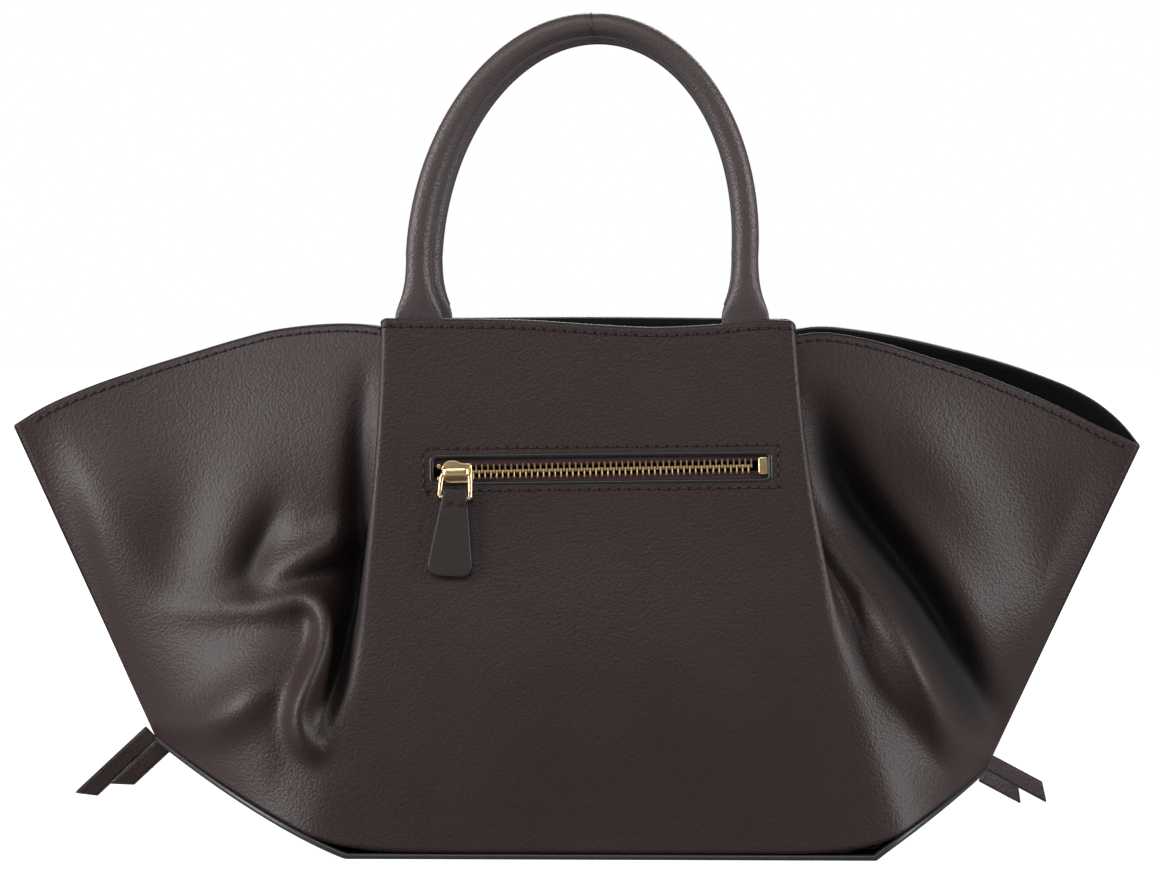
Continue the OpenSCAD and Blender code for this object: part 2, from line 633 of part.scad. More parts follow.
// Handles: a rolled tube over a cord, turning on flared ends just over the rim
tongue_y = top_y - wall / 2 - gap - tongue_t / 2;
hinge_z = body_h + gap + leg_d / 2 + 0.9;
arch_z = body_h + leg_straight;
crown_z = body_h + handle_rise;
handle_sides = 12;
core_sides = 8;
leg_rings = 4;
arch_rings = 22;
neck_rise = 9;
neck_z = hinge_z + neck_rise;
function arch_point(a) =
    [-handle_shift - leg_gap / 2 * cos(a) + crown_lean * sin(a), 0, arch_z + (crown_z - arch_z) * sin(a)];
function leg_points(s) =
    [for (i = [0:leg_rings - 1]) [-handle_shift + s * leg_gap / 2, 0, mix(neck_z, arch_z, i / leg_rings)]];
handle_path = [each leg_points(-1), for (i = [0:arch_rings]) arch_point(180 * i / arch_rings),
               for (i = [leg_rings - 1:-1:0]) leg_points(1)[i]];
function path_dir(p, i) = let (d = p[min(len(p) - 1, i + 1)] - p[max(0, i - 1)]) d / norm(d);
function tube_r(z) = mix(leg_d, crown_d, ease((z - arch_z) / (crown_z - arch_z))) / 2;
// Rings square to a path that lies in the XZ plane
function rings(p, rs, n) =
    [for (i = [0:len(p) - 1])
        let (d = path_dir(p, i), side = [d[2], 0, -d[0]])
        [for (k = [0:n - 1])
            let (a = 360 * k / n)
            p[i] + rs[i] * (cos(a) * side + sin(a) * [0, 1, 0])]];
// Side faces of a swept tube of m rings of n points that start at vertex v0, and the same facing inwards
function tube_sides(v0, m, n) =
    [for (i = [0:m - 2], k = [0:n - 1])
        let (a = v0 + i * n + k, b = v0 + i * n + (k + 1) % n, c = a + n, d = b + n)
        each [[a, d, b], [a, c, d]]];
function flipped(faces) = [for (f = faces) [f[0], f[2], f[1]]];
module swept(p, rs, n) {
    last = (len(p) - 1) * n;
    faces = [each tube_sides(0, len(p), n),
             for (k = [1:n - 2]) each [[0, k, k + 1], [last, last + k + 1, last + k]]];
    polyhedron([for (r = rings(p, rs, n)) each r], faces, convexity = 10);
}
module swept_hollow(p, outer, inner, n) {
    count = len(p) * n;
    last = count - n;
    faces = [each tube_sides(0, len(p), n), each flipped(tube_sides(count, len(p), n)),
             for (k = [0:n - 1]) let (k2 = (k + 1) % n) each
                 [[k2, count + k, k], [k2, count + k2, count + k],
                  [last + k, last + count + k2, last + k2], [last + k, last + count + k, last + count + k2]]];
    polyhedron([for (r = rings(p, outer, n)) each r, for (r = rings(p, inner, n)) each r], faces,
               convexity = 12);
}
// The rolled cover slips a little way into its flared ends
cover_into = 1.5;
cover_path = [handle_path[0] - [0, 0, cover_into], each handle_path,
              handle_path[len(handle_path) - 1] - [0, 0, cover_into]];
flare_t = 6.4;
module handle_tube() {
    swept_hollow(cover_path, [for (p = cover_path) tube_r(p[2])],
                 [for (p = cover_path) core_d / 2 + gap], handle_sides);
    for (s = [-1, 1]) translate([-handle_shift + s * leg_gap / 2, 0, hinge_z]) {
        // Flared end, flattened onto the roll that it turns on
        rotate([90, 0, 0]) linear_extrude(flare_t, center = true)
            polygon([[-flare_w / 2, 0], [flare_w / 2, 0], [flare_w / 2 - 2.4, 3],
                     [leg_d / 2 - 0.4, neck_z - hinge_z], [0.4 - leg_d / 2, neck_z - hinge_z],
                     [-flare_w / 2 + 2.4, 3]]);
        rotate([0, 90, 0]) cylinder(h = flare_w, r = knuckle_d / 2, center = true);
    }
}
// Sewn behind the rim, and so leaning with the centre panel, then upright to the handle's roll
module handle_tongues() {
    half = tongue_t / 2;
    mitre = half * tan(lean / 2);
    top = hinge_z - knuckle_d / 2 - gap - body_h;
    function leaning(y) = [y * cos(lean) - tongue_h * sin(lean), -y * sin(lean) - tongue_h * cos(lean)];
    for (s = [-1, 1]) translate([-handle_shift + s * leg_gap / 2, 0, body_h])
        rotate([90, 0, 90]) linear_extrude(flare_w, center = true)
            polygon([leaning(-half), leaning(half), [half, -mitre], [half, top], [-half, top], [-half, mitre]]);
}
core_path = [handle_path[0] + [0, 0, gap], each [for (i = [1:len(handle_path) - 2]) handle_path[i]],
             handle_path[len(handle_path) - 1] + [0, 0, gap]];
module core_cord() { swept(core_path, [for (p = core_path) core_d / 2], core_sides); }
module back_handle_tongues() { color(leather) translate([0, -tongue_y, 0]) handle_tongues(); }
module front_handle_tongues() { color(leather) mirror([0, 1, 0]) translate([0, -tongue_y, 0]) handle_tongues(); }
module back_handle() { color(leather) translate([0, -tongue_y, 0]) handle_tube(); }
module front_handle() { color(leather) translate([0, tongue_y, 0]) handle_tube(); }
module back_handle_core() { color(cord_grey) translate([0, -tongue_y, 0]) core_cord(); }
module front_handle_core() { color(cord_grey) translate([0, tongue_y, 0]) core_cord(); }

// Two straps are sewn into each lower corner of the side seam. Short roots are held in the seam
// and the free ends bend where the roots end. Local x runs along the straps, z across them.
module at_corner(s) {
    translate([s * (corner_x(s) + gap), 0, corner_z(s)]) mirror([s < 0 ? 1 : 0, 0, 0])
        rotate([0, s < 0 ? left_tie_drop : right_tie_drop, 0]) children();
}
bend_x = 5;
root_end = bend_x - tie_t / 2 - gap;
tie_split = gap / 2;
module strap(points) {
    rotate([90, 0, 0]) linear_extrude(tie_t, center = true) polygon(points);
}
module tie_roots(s) {
    color(leather) at_corner(s) {
        strap([[0.6, tie_split], [root_end, tie_split], [root_end, tie_w], [0.6, tie_w]]);
        strap([[0.6, -tie_split], [-2.2, -tie_w], [root_end, -tie_w], [root_end, -tie_split]]);
    }
}
module tie_ends(s) {
    slant = tie_w * 0.5;
    color(leather) at_corner(s) {
        strap([[bend_x, tie_split], [tie_long, tie_split], [tie_long - slant, tie_w], [bend_x, tie_w]]);
        strap([[bend_x, -tie_split], [tie_short, -tie_split], [tie_short - slant, -tie_w], [bend_x, -tie_w]]);
        for (z = [tie_split, -tie_w]) translate([bend_x, 0, z]) cylinder(h = tie_w - tie_split, r = tie_t / 2);
    }
}
module left_tie_roots() { tie_roots(-1); }
module right_tie_roots() { tie_roots(1); }
module left_tie_ends() { tie_ends(-1); }
module right_tie_ends() { tie_ends(1); }

// Magnetic snap at the middle of the two facings
stud_h = 1.4;
module snap_half(stud) {
    z = body_h - snap_below;
    y = mix(base_y, top_y, (z - seam_lift) / (body_h - seam_lift)) - sheet_half - gap;
    translate([0, -y, z]) rotate([-lean, 0, 0]) rotate([-90, 0, 0]) {
        cylinder(h = snap_t, r = snap_d / 2);
        if (stud) translate([0, 0, snap_t]) cylinder(h = stud_h, r = snap_d / 5);
    }
}
module snap_socket() { color(brass) snap_half(false); }
module snap_stud() { color(brass) mirror([0, 1, 0]) snap_half(true); }

back_panel();
front_panel();
base_panel();
base_board();
base_lining();
back_lining();
front_lining();
back_facing();
front_facing();
left_side_seam();
right_side_seam();
zip_frame();
zip_tape_upper();
zip_tape_lower();
zip_teeth_upper();
zip_teeth_lower();
zip_top_stops();
zip_bottom_stop();
zip_pocket_bag();
slider_body();
pull_ring();
pull_tab();
back_handle_tongues();
front_handle_tongues();
back_handle();
back_handle_core();
front_handle();
front_handle_core();
left_tie_roots();
right_tie_roots();
left_tie_ends();
right_tie_ends();
snap_socket();
snap_stud();
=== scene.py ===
import json
import math

import bpy
import numpy as np
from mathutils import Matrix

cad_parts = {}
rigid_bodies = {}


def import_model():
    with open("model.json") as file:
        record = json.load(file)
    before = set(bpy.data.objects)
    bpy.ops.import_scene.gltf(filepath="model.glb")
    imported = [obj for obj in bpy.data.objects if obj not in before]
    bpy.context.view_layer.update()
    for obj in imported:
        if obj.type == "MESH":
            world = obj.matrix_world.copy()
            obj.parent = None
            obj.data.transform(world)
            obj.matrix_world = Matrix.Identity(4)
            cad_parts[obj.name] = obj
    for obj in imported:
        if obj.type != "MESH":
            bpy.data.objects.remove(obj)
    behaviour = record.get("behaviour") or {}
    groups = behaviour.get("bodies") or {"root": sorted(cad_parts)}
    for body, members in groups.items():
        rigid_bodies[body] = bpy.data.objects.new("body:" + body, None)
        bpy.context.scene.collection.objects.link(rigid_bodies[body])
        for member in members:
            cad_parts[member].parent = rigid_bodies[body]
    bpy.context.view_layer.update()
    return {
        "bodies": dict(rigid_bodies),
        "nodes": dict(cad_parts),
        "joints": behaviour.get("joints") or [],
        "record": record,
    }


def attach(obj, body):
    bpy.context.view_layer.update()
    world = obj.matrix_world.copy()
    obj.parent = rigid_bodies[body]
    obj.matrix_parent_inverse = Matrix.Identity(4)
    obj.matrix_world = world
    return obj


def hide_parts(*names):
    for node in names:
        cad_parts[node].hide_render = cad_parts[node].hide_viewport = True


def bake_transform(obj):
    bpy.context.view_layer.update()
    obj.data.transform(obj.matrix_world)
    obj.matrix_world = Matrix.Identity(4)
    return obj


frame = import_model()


# The studio. A long lens stands a little above the rim and slightly to the right, over a white
# floor. Large soft boxes hang in front and behind, and narrower ones stand at the left and the
# right, so that the dark leather shows broad soft sheens.
class Wire:
    """An output of a node in a material. Sums, differences and products on it add Math nodes."""

    def __init__(self, tree, socket=None):
        self.tree = tree
        self.socket = socket

    def node(self, kind, settings=None, inputs=(), out=0):
        """Adds a node of any type: its settings first, then the values or links of its sockets."""
        made = self.tree.nodes.new(kind)
        for key, value in (settings or {}).items():
            setattr(made, key, value)
        pairs = inputs.items() if isinstance(inputs, dict) else enumerate(inputs)
        for key, value in pairs:
            if isinstance(value, Wire):
                self.tree.links.new(value.socket, made.inputs[key])
            else:
                made.inputs[key].default_value = value
        return Wire(self.tree, made.outputs[out])

    def math(self, operation, first, second=0.0):
        """Adds a Math node that works on two values."""
        return self.node("ShaderNodeMath", {"operation": operation}, [first, second])

    def __add__(self, other):
        return self.math("ADD", self, other)

    def __sub__(self, other):
        return self.math("SUBTRACT", self, other)

    def __rsub__(self, other):
        return self.math("SUBTRACT", other, self)

    def __mul__(self, other):
        return self.math("MULTIPLY", self, other)

    __radd__ = __add__
    __rmul__ = __mul__

    def clear(self):
        """The value held between 0 and 1."""
        return self.node("ShaderNodeClamp", {}, [self])

    def into(self, node, socket):
        """Links the value to a socket of another node."""
        self.tree.links.new(self.socket, node.inputs[socket])


def soft_box(name, place, aim, size, power):
    """A rectangular lamp at a place, turned so that its face looks at a point: tilted by the angle
    between straight up and the way back from that point, and turned by its bearing."""
    lamp = bpy.data.lights.new(name, "AREA")
    lamp.shape = "RECTANGLE"
    lamp.size, lamp.size_y = size
    lamp.energy = power
    box = bpy.data.objects.new(name, lamp)
    box.location = place
    away = np.array(place, float) - np.array(aim, float)
    box.rotation_euler = (math.atan2(math.hypot(away[0], away[1]), away[2]), 0, math.atan2(away[0], -away[1]))
    bpy.context.scene.collection.objects.link(box)


lens = bpy.data.cameras.new("lens")
lens.sensor_width = 36
lens.lens = 148.7
camera = bpy.data.objects.new("camera", lens)
camera.location = (0.052, -2.048, 0.249)
looks_down, turns_left = 2.139, 1.634
camera.rotation_euler = (math.radians(90 - looks_down), 0, math.radians(turns_left))
bpy.context.scene.collection.objects.link(camera)
bpy.context.scene.camera = camera
bpy.context.scene.view_settings.view_transform = "Standard"

soft_box("front_box", (-0.3, -1.5, 1.6), (0, 0, 0.12), (1.4, 0.9), 16)
soft_box("left_box", (-1.35, -0.5, 0.5), (-0.1, 0, 0.14), (0.6, 1.0), 21)
soft_box("right_box", (1.25, -0.4, 0.5), (0, 0, 0.15), (0.5, 0.9), 14)
soft_box("back_box", (0.3, 1.7, 1.4), (0, 0, 0.12), (1.4, 0.9), 24)

world = bpy.data.worlds.new("white_room")
world.use_nodes = True
bpy.context.scene.world = world
sky = world.node_tree.nodes["Background"]
sky.inputs["Color"].default_value = (1, 1, 1, 1)
seen = Wire(world.node_tree).node("ShaderNodeLightPath", out="Is Camera Ray")
light_on_bag = 0.02
(seen * (1 - light_on_bag) + light_on_bag).into(sky, "Strength")

floor_half = 9
floor_mesh = bpy.data.meshes.new("floor")
floor_mesh.from_pydata([(floor_half * x, floor_half * y, 0) for x, y in ((-1, -1), (1, -1), (1, 1), (-1, 1))],
                       [], [(0, 1, 2, 3)])
floor = bpy.data.objects.new("floor", floor_mesh)
bpy.context.scene.collection.objects.link(floor)

# The camera sees the floor almost white and glowing, more so away from the bag's shadow, and polished
# metal sees a little of that glow. The bag itself gets light only from a grey floor.
white = bpy.data.materials.new("white_floor")
white.use_nodes = True
paper = Wire(white.node_tree)
matt = white.node_tree.nodes["Principled BSDF"]
matt.inputs["Roughness"].default_value = 0.9
seen = paper.node("ShaderNodeLightPath", out="Is Camera Ray")
mirrored = paper.node("ShaderNodeLightPath", out="Is Glossy Ray")
(seen * 0.75 + 0.2).into(matt, "Base Color")
glow = paper.node("ShaderNodeEmission", {}, {"Color": (1, 1, 1, 1), "Strength": 1.55})
spot = paper.node("ShaderNodeTexCoord", out="Object")
away = paper.node("ShaderNodeVectorMath", {"operation": "LENGTH"}, [spot], "Value")
shadow_reach, shadow_glow = 0.4, 0.6
far_off = ((away - shadow_reach) * 1.4).clear()
share = (seen + mirrored * 0.2).clear() * (far_off * (1 - shadow_glow) + shadow_glow)
lit = paper.node("ShaderNodeMixShader", {}, [share, Wire(white.node_tree, matt.outputs[0]), glow])
lit.into(white.node_tree.nodes["Material Output"], "Surface")
floor_mesh.materials.append(white)


# The base. A stiff board lies on a leather sole that is flat in the middle and turns up to a
# point at each side seam. The sole's edge is cut square, painted, and stands out a little past
# the panels that are sewn to it.
MM = 0.001


def ease(a):
    """0 up to a = 0, 1 from a = 1, and between them 3a squared less 2a cubed."""
    a = np.clip(a, 0, 1)
    return a * a * (3 - 2 * a)


def mix(a, b, f):
    """From a to b by the share f: a plus f times their difference."""
    return a + (b - a) * f


def through(points):
    """A smooth curve through a few points: cubics whose slopes are those of the chords beside
    them. It holds its end values beyond the ends."""
    x, y = np.array(points, float).T
    slope = np.gradient(y, x)

    def at(q):
        """The curve at q: the value and the slope at each end of its stretch, each times a cubic of
        the share f of the stretch that lies behind q."""
        q = np.clip(q, x[0], x[-1])
        i = np.clip(np.searchsorted(x, q, side="right") - 1, 0, len(x) - 2)
        h = x[i + 1] - x[i]
        f = (q - x[i]) / h
        return (y[i] * (1 + 2 * f) * (1 - f) ** 2 + slope[i] * h * f * (1 - f) ** 2
                + y[i + 1] * f * f * (3 - 2 * f) - slope[i + 1] * h * f * f * (1 - f))
    return at


class End:
    """One end of the empty bag, as it stands, in millimetres out from the middle: the fold at the
    side of the centre panel, how far it flares downwards and how straight, the end of the flat
    base, the corner and the tip of the side edge, the powers by which the wing closes and the sole
    rises, the shares of the height between which the pleat opens, and the near and the far rim."""

    def __init__(self, sign, fold, flare, straight, base, corner, tip, close, rise, fade, rim, far_rim):
        self.sign, self.fold, self.flare, self.straight = sign, fold, flare, straight
        self.base, self.corner, self.tip, self.close, self.rise = base, corner, tip, close, rise
        self.fade, self.rim, self.far_rim = fade, through(rim), through(far_rim)

    def share(self, x):
        """How far a point of the sole lies along the part that turns up."""
        return np.clip((x - self.base) / (self.corner[0] - self.base), 0, 1)

    def base_rise(self, x):
        """Height of the sole: the corner's, times a power of the share."""
        return self.corner[1] * self.share(x) ** self.rise

    def half_depth(self, x):
        """Half the bag's depth along the bottom seam, from the flat base to the side corner."""
        return seam_y + (base_y - seam_y) * (1 - self.share(x) ** 1.8)

    def edge(self, t):
        """Where the fold at the side of the centre panel stands, at a share t of the height."""
        return self.fold + self.flare * (self.straight * (1 - t) + (1 - self.straight) * (1 - t) ** 2)

    def turn(self, t):
        """Angle of a pleat, in radians: a half turn at the rim, none at the bottom."""
        return np.maximum(0.009, math.pi * ease((t - self.fade[0]) / (self.fade[1] - self.fade[0])))


wall = 1.5
seam_y = 1.2
base_y, top_y = 71.25, 41.25
seam_lift = 2.3
LEFT = End(-1, 88, 30, 0, 100, (188, 42), (249, 178), 2.3, 1.1, (0.12, 0.8),
           [(73, 219.5), (88, 220.7), (96, 221.8), (105, 222.1), (116, 221.6), (126, 220.6), (138, 218.7),
            (150, 215.6), (173, 208.8), (197, 201.3), (220, 193.1), (238, 184.8), (249, 178)],
           [(73, 219), (88, 220), (96, 221), (105, 221.3), (116, 220.8), (126, 219.8), (138, 218),
            (150, 215), (173, 208.4), (197, 201), (220, 193.1), (238, 184.8), (249, 178)])
RIGHT = End(1, 87, 48, 0.25, 120, (170, 30), (235, 170), 1.15, 0.9, (0.22, 0.92),
            [(73, 216.5), (88, 217.4), (94, 218.3), (101, 218.3), (110, 217), (121, 214.7), (141, 208.8),
             (162, 202.1), (182, 194.4), (203, 185.1), (218, 177.6), (228, 173.2), (235, 170)],
            [(73, 218), (88, 219.2), (97, 220.3), (104, 220.2), (112, 219.3), (133, 216), (153, 211.5),
             (174, 206), (194, 199.3), (209, 192.9), (219, 186.7), (229, 177.6), (235, 170)])


def quads_of(nu, nv):
    """The faces of a grid of nu by nv points that are numbered along v first."""
    i, j = np.meshgrid(np.arange(nu - 1), np.arange(nv - 1), indexing="ij")
    k = i * nv + j
    return np.stack([k, k + nv, k + nv + 1, k + 1], -1).reshape(-1, 4)


def link_mesh(name, points, faces, material, smooth=True, uv=None):
    """A mesh object from points in millimetres and faces of four corners, or three and a -1."""
    mesh = bpy.data.meshes.new(name)
    points = np.asarray(points, float).reshape(-1, 3) * MM
    corners = faces[faces >= 0]
    mesh.vertices.add(len(points))
    mesh.vertices.foreach_set("co", points.ravel())
    mesh.loops.add(len(corners))
    mesh.loops.foreach_set("vertex_index", corners.astype(np.int32))
    mesh.polygons.add(len(faces))
    counts = (faces >= 0).sum(1)
    mesh.polygons.foreach_set("loop_start", (np.cumsum(counts) - counts).astype(np.int32))
    mesh.update(calc_edges=True)
    mesh.polygons.foreach_set("use_smooth", np.full(len(faces), smooth))
    if uv is not None:
        layer = mesh.uv_layers.new(name="along")
        layer.data.foreach_set("uv", np.asarray(uv, float)[corners].ravel())
    mesh.materials.append(material)
    piece = bpy.data.objects.new(name, mesh)
    bpy.context.scene.collection.objects.link(piece)
    return piece


def normals_of(points, faces):
    """Unit normals at the points of a sheet: the sum of the normals of the faces around each."""
    p = points[faces]
    across = np.cross(p[:, 2] - p[:, 0], p[:, 3] - p[:, 1])
    total = np.zeros_like(points)
    for corner in range(4):
        np.add.at(total, faces[:, corner], across)
    return total / np.maximum(np.linalg.norm(total, axis=1, keepdims=True), 1e-9)


def thicken(points, faces, out, into):
    """A closed skin from a sheet: one copy set out, one set in, and a wall round every open edge."""
    n = normals_of(points, faces)
    count = len(points)
    edges = np.concatenate([faces[:, [k, (k + 1) % 4]] for k in range(4)])
    key = np.sort(edges, 1) @ np.array([count, 1])
    _, first, times = np.unique(key, return_index=True, return_counts=True)
    rim = edges[first[times == 1]]
    band = np.stack([rim[:, 1], rim[:, 0], rim[:, 0] + count, rim[:, 1] + count], 1)
    return (np.concatenate([points + n * out, points - n * into]),
            np.concatenate([faces, faces[:, ::-1] + count, band]))


def sole_grid(shares, lift, inset, end=1.0, steps=60):
    """The sole: x runs along the bag, the share of the half depth across it, and z follows the rise.
    It is lifted and set in by the sizes given, and ends at a share of its turned-up parts."""
    left_tip, right_tip = (mix(side.base, side.corner[0], end) for side in (LEFT, RIGHT))
    x = np.concatenate([-mix(LEFT.base, left_tip, np.linspace(1, 0, steps)),
                        np.linspace(-LEFT.base, RIGHT.base, 24)[1:-1],
                        mix(RIGHT.base, right_tip, np.linspace(0, 1, steps))])[:, None]
    depth = np.where(x < 0, LEFT.half_depth(-x), RIGHT.half_depth(x)) + wall / 2 - inset
    rise = np.where(x < 0, LEFT.base_rise(-x), RIGHT.base_rise(x)) + lift
    return np.stack([x + 0 * shares, depth * shares, rise + 0 * shares], -1)


def new_finish(name, frame="Object"):
    """A new material, its shader, and the place of each point in a coordinate frame."""
    material = bpy.data.materials.new(name)
    material.use_nodes = True
    shader = material.node_tree.nodes["Principled BSDF"]
    return material, shader, Wire(material.node_tree).node("ShaderNodeTexCoord", out=frame)


def noise(place, scale, detail=3.0, roughness=0.5, out=0):
    """Soft noise, with as many swings in a metre as its scale."""
    return place.node("ShaderNodeTexNoise", {},
                      {"Vector": place, "Scale": scale, "Detail": detail, "Roughness": roughness}, out)


def between(share, first, second):
    """A colour that goes from the first to the second as the share goes from 0 to 1."""
    first, second = (each if isinstance(each, Wire) else (*each, 1) for each in (first, second))
    return share.node("ShaderNodeMix", {"data_type": "RGBA"},
                      {"Factor": share, "A": first, "B": second}, "Result")


def shades(share, colour, darker, lighter):
    """A colour that goes from one multiple of itself to another as the share goes from 0 to 1."""
    return between(share, [c * darker for c in colour], [c * lighter for c in colour])


def dress(shader, colour, roughness, height, strength, depth):
    """Links a colour, a roughness and a relief with its strength and its depth in metres."""
    colour.into(shader, "Base Color")
    roughness.into(shader, "Roughness")
    bump = height.node("ShaderNodeBump", {}, {"Strength": strength, "Distance": depth, "Height": height})
    bump.into(shader, "Normal")


def pebbled(name, colour, grain=1.25, relief=0.9, roughness=0.5, gloss=0.4):
    """Drum-dyed leather. Cells about a millimetre wide, bent by noise, are raised between fine
    creases, and slow noise varies the tone. The creases are darker and duller. The depths of the
    folds carry painted shade: there the colour is mixed towards near black and the roughness raised."""
    material, shader, place = new_finish(name)
    shader.inputs["Specular IOR Level"].default_value = gloss
    wobble = noise(place, 900, 2.0, out="Color")
    bent = place.node("ShaderNodeVectorMath", {"operation": "MULTIPLY_ADD"}, [wobble, [0.0003] * 3, place])
    cells = bent.node("ShaderNodeTexVoronoi", {"feature": "F1"}, {"Vector": bent, "Scale": 1000 / grain},
                      "Distance")
    fine = noise(place, 2600, roughness=0.6)
    slow = noise(place, 28)
    skin = (1 - cells) * 0.75 + fine * 0.35
    paint = shades((skin - 0.55) * 0.35 + (slow - 0.5) * 0.35 + 0.5, colour, 0.75, 1.25)
    painted_fold_shade = place.node("ShaderNodeAttribute", {"attribute_name": "painted_fold_shade"}, out="Fac")
    # Painted shade: the marked depths of the folds take a near-black colour.
    paint = between(painted_fold_shade * 0.9, paint, (0.001, 0.0006, 0.0006))
    sheen = roughness + (0.5 - skin) * 0.12 + (slow - 0.5) * 0.14 + painted_fold_shade * 0.3
    dress(shader, paint, sheen, skin, relief, 0.00028)
    return material


leather = pebbled("pebbled_leather", (0.030, 0.0150, 0.0145), relief=0.7, roughness=0.48)
sole_leather = pebbled("sole_leather", (0.018, 0.012, 0.011))


def piece_of(name, points, faces, material, nodes=(), body="bag", slot=None, smooth=True, uv=None):
    """Makes a piece, lets it stand for its CAD nodes, and puts it on its body."""
    piece = link_mesh(name, points, faces, material, smooth, uv)
    if nodes:
        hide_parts(*nodes)
    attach(piece, body)
    return piece


shares = np.sin(np.linspace(-1, 1, 41) * math.pi / 2)
sole_t, sole_lip = 2.0, 0.9
under = sole_grid(shares, 0.0, -sole_lip)
points, faces = thicken(under.reshape(-1, 3), quads_of(*under.shape[:2])[:, ::-1], 0.0, sole_t)
piece_of("sole", points, faces, sole_leather, ["base_panel"], slot="base_leather")


# The body. Each side of the bag is one piece of soft leather. Beside the flat centre it is
# folded back on itself at the rim, an S in plan that opens out on the way down, and past that it
# flares into a wing. Gravity and the pleats pull the wings into long soft folds.
pleat_bend, pleat_back = 6.4, 12
pleat_len = 2 * pleat_bend + pleat_back


def pleat_plan(q, turn):
    """A pleat in plan: a bend by the angle, a straight run, and the same bend the other way."""
    r = pleat_bend / turn
    d = q * pleat_len
    a = np.clip(d / pleat_bend, 0, 1) * turn
    run = np.clip(d - pleat_bend, 0, pleat_back)
    b = np.clip((d - pleat_bend - pleat_back) / pleat_bend, 0, 1) * turn
    along = r * np.sin(a) + run * np.cos(turn) + r * (np.sin(turn) - np.sin(turn - b))
    into = r * (1 - np.cos(a)) + run * np.sin(turn) + r * (np.cos(turn - b) - np.cos(turn))
    return along, into


def flat_end(end, t):
    """Where the flat of the centre panel ends and its fold begins."""
    turn = end.turn(t)
    return end.edge(t) - pleat_bend / turn * np.sin(np.minimum(math.pi / 2, turn)) - wall / 2


def centre_depth(end, x0, t):
    """The centre's distance from the middle of the bag: it leans in evenly towards the rim, less what
    the sole is narrower at that place, which fades with the third power of the share left above."""
    return mix(base_y, top_y, t) - (base_y - end.half_depth(x0)) * (1 - t) ** 3


rim_reach = 88
near_top = through([(-88, 224.6), (-59, 224.4), (-27, 223.8), (3, 221.9), (27, 220.8), (52, 221.9), (77, 224),
                    (87, 223.6)])
far_top = through([(-88, 223.6), (0, 224.2), (87, 223.4)])


def centre_part(c, t, top):
    """The centre panel: x between the two folds, the depth from the lean, z from the seam to the rim."""
    left, right = flat_end(LEFT, t), flat_end(RIGHT, t)
    left0, right0 = flat_end(LEFT, 0.0), flat_end(RIGHT, 0.0)
    x, x0 = mix(-left, right, c), mix(-left0, right0, c)
    depth = np.where(x0 < 0, centre_depth(LEFT, -x0, t), centre_depth(RIGHT, x0, t))
    rise = np.where(x0 < 0, LEFT.base_rise(-x0), RIGHT.base_rise(x0))
    return np.stack([x, -depth, mix(seam_lift + rise, top(x), t)], -1)


def pleat_part(end, q, t, top, rim):
    """A pleat: its plan is set out from the end of the flat. Its rim runs from the centre's down to a
    lower one, which is the wing's read further out, and steps up again where the wing begins."""
    along, into = pleat_plan(q, end.turn(t))
    x0 = flat_end(end, 0.0)
    xq = x0 + pleat_plan(q, end.turn(np.zeros_like(t)))[0]
    step = end.half_depth(x0) - end.half_depth(xq)
    start = flat_end(end, t)
    x = start + along
    high = mix(top(end.sign * start), rim(start + rim_reach - 15 * q), ease(q * 1.6))
    return np.stack([x, centre_depth(end, x0, t) - into - step * (1 - t) ** 3,
                     mix(seam_lift + end.base_rise(xq), high, t)], -1)


swell, swell_at = 11, 0.3


def wing_part(end, v, t, rim):
    """A wing: from the pleat's end to the side edge, as deep at the bottom as the sole and closing
    towards the tip at the rim, with a swell in the middle of its height."""
    one = np.ones_like(t)
    start = pleat_part(end, one, t, near_top, rim)
    low0 = pleat_part(end, one, 0 * t, near_top, rim)
    high0 = pleat_part(end, one, one, near_top, rim)
    side = mix(end.corner[0], end.tip[0], t)
    x = mix(start[..., 0], side, v)
    x0 = mix(low0[..., 0], end.corner[0], v)
    x1 = mix(high0[..., 0], end.tip[0], v)
    low = (end.half_depth(x0) - seam_y) / (low0[..., 1] - seam_y)
    g = mix(low, (1 - v) ** end.close, t ** 1.3)
    hump = v / swell_at * np.exp(1 - v / swell_at) * (1 - v ** 4)
    y = seam_y + (start[..., 1] - seam_y) * g + swell * 4 * t * (1 - t) * hump
    return np.stack([x, y, mix(seam_lift + end.base_rise(x0), rim(x1), t)], -1)


def onto(part, sign):
    """A part worked out in distances from the middle, put on its own side of the bag, facing -Y."""
    return part * np.array([sign, -1, 1])


def smooth_path(points, count):
    """A smooth curve through a few points, as many points as asked for."""
    points = np.array(points, float)
    ks, ts = np.linspace(0, 1, len(points)), np.linspace(0, 1, count)
    return np.stack([through(np.stack([ks, points[:, k]], 1))(ts) for k in range(points.shape[1])], 1)


def fold(points, line, height, width):
    """How far a soft fold lifts the leather at each point, seen from the front: bell curves of one
    width that stand close together along a bent line, with the heights given along it."""
    bent = smooth_path([(*at, lift) for at, lift in zip(line, height)], 90)
    path, tall = bent[:, :2], bent[:, 2]
    step = np.linalg.norm(np.gradient(path, axis=0), axis=1)
    gap = ((points[:, None] - path) ** 2).sum(-1)
    return (tall * step * np.exp(-gap / width ** 2)).sum(1) / (width * math.sqrt(math.pi))


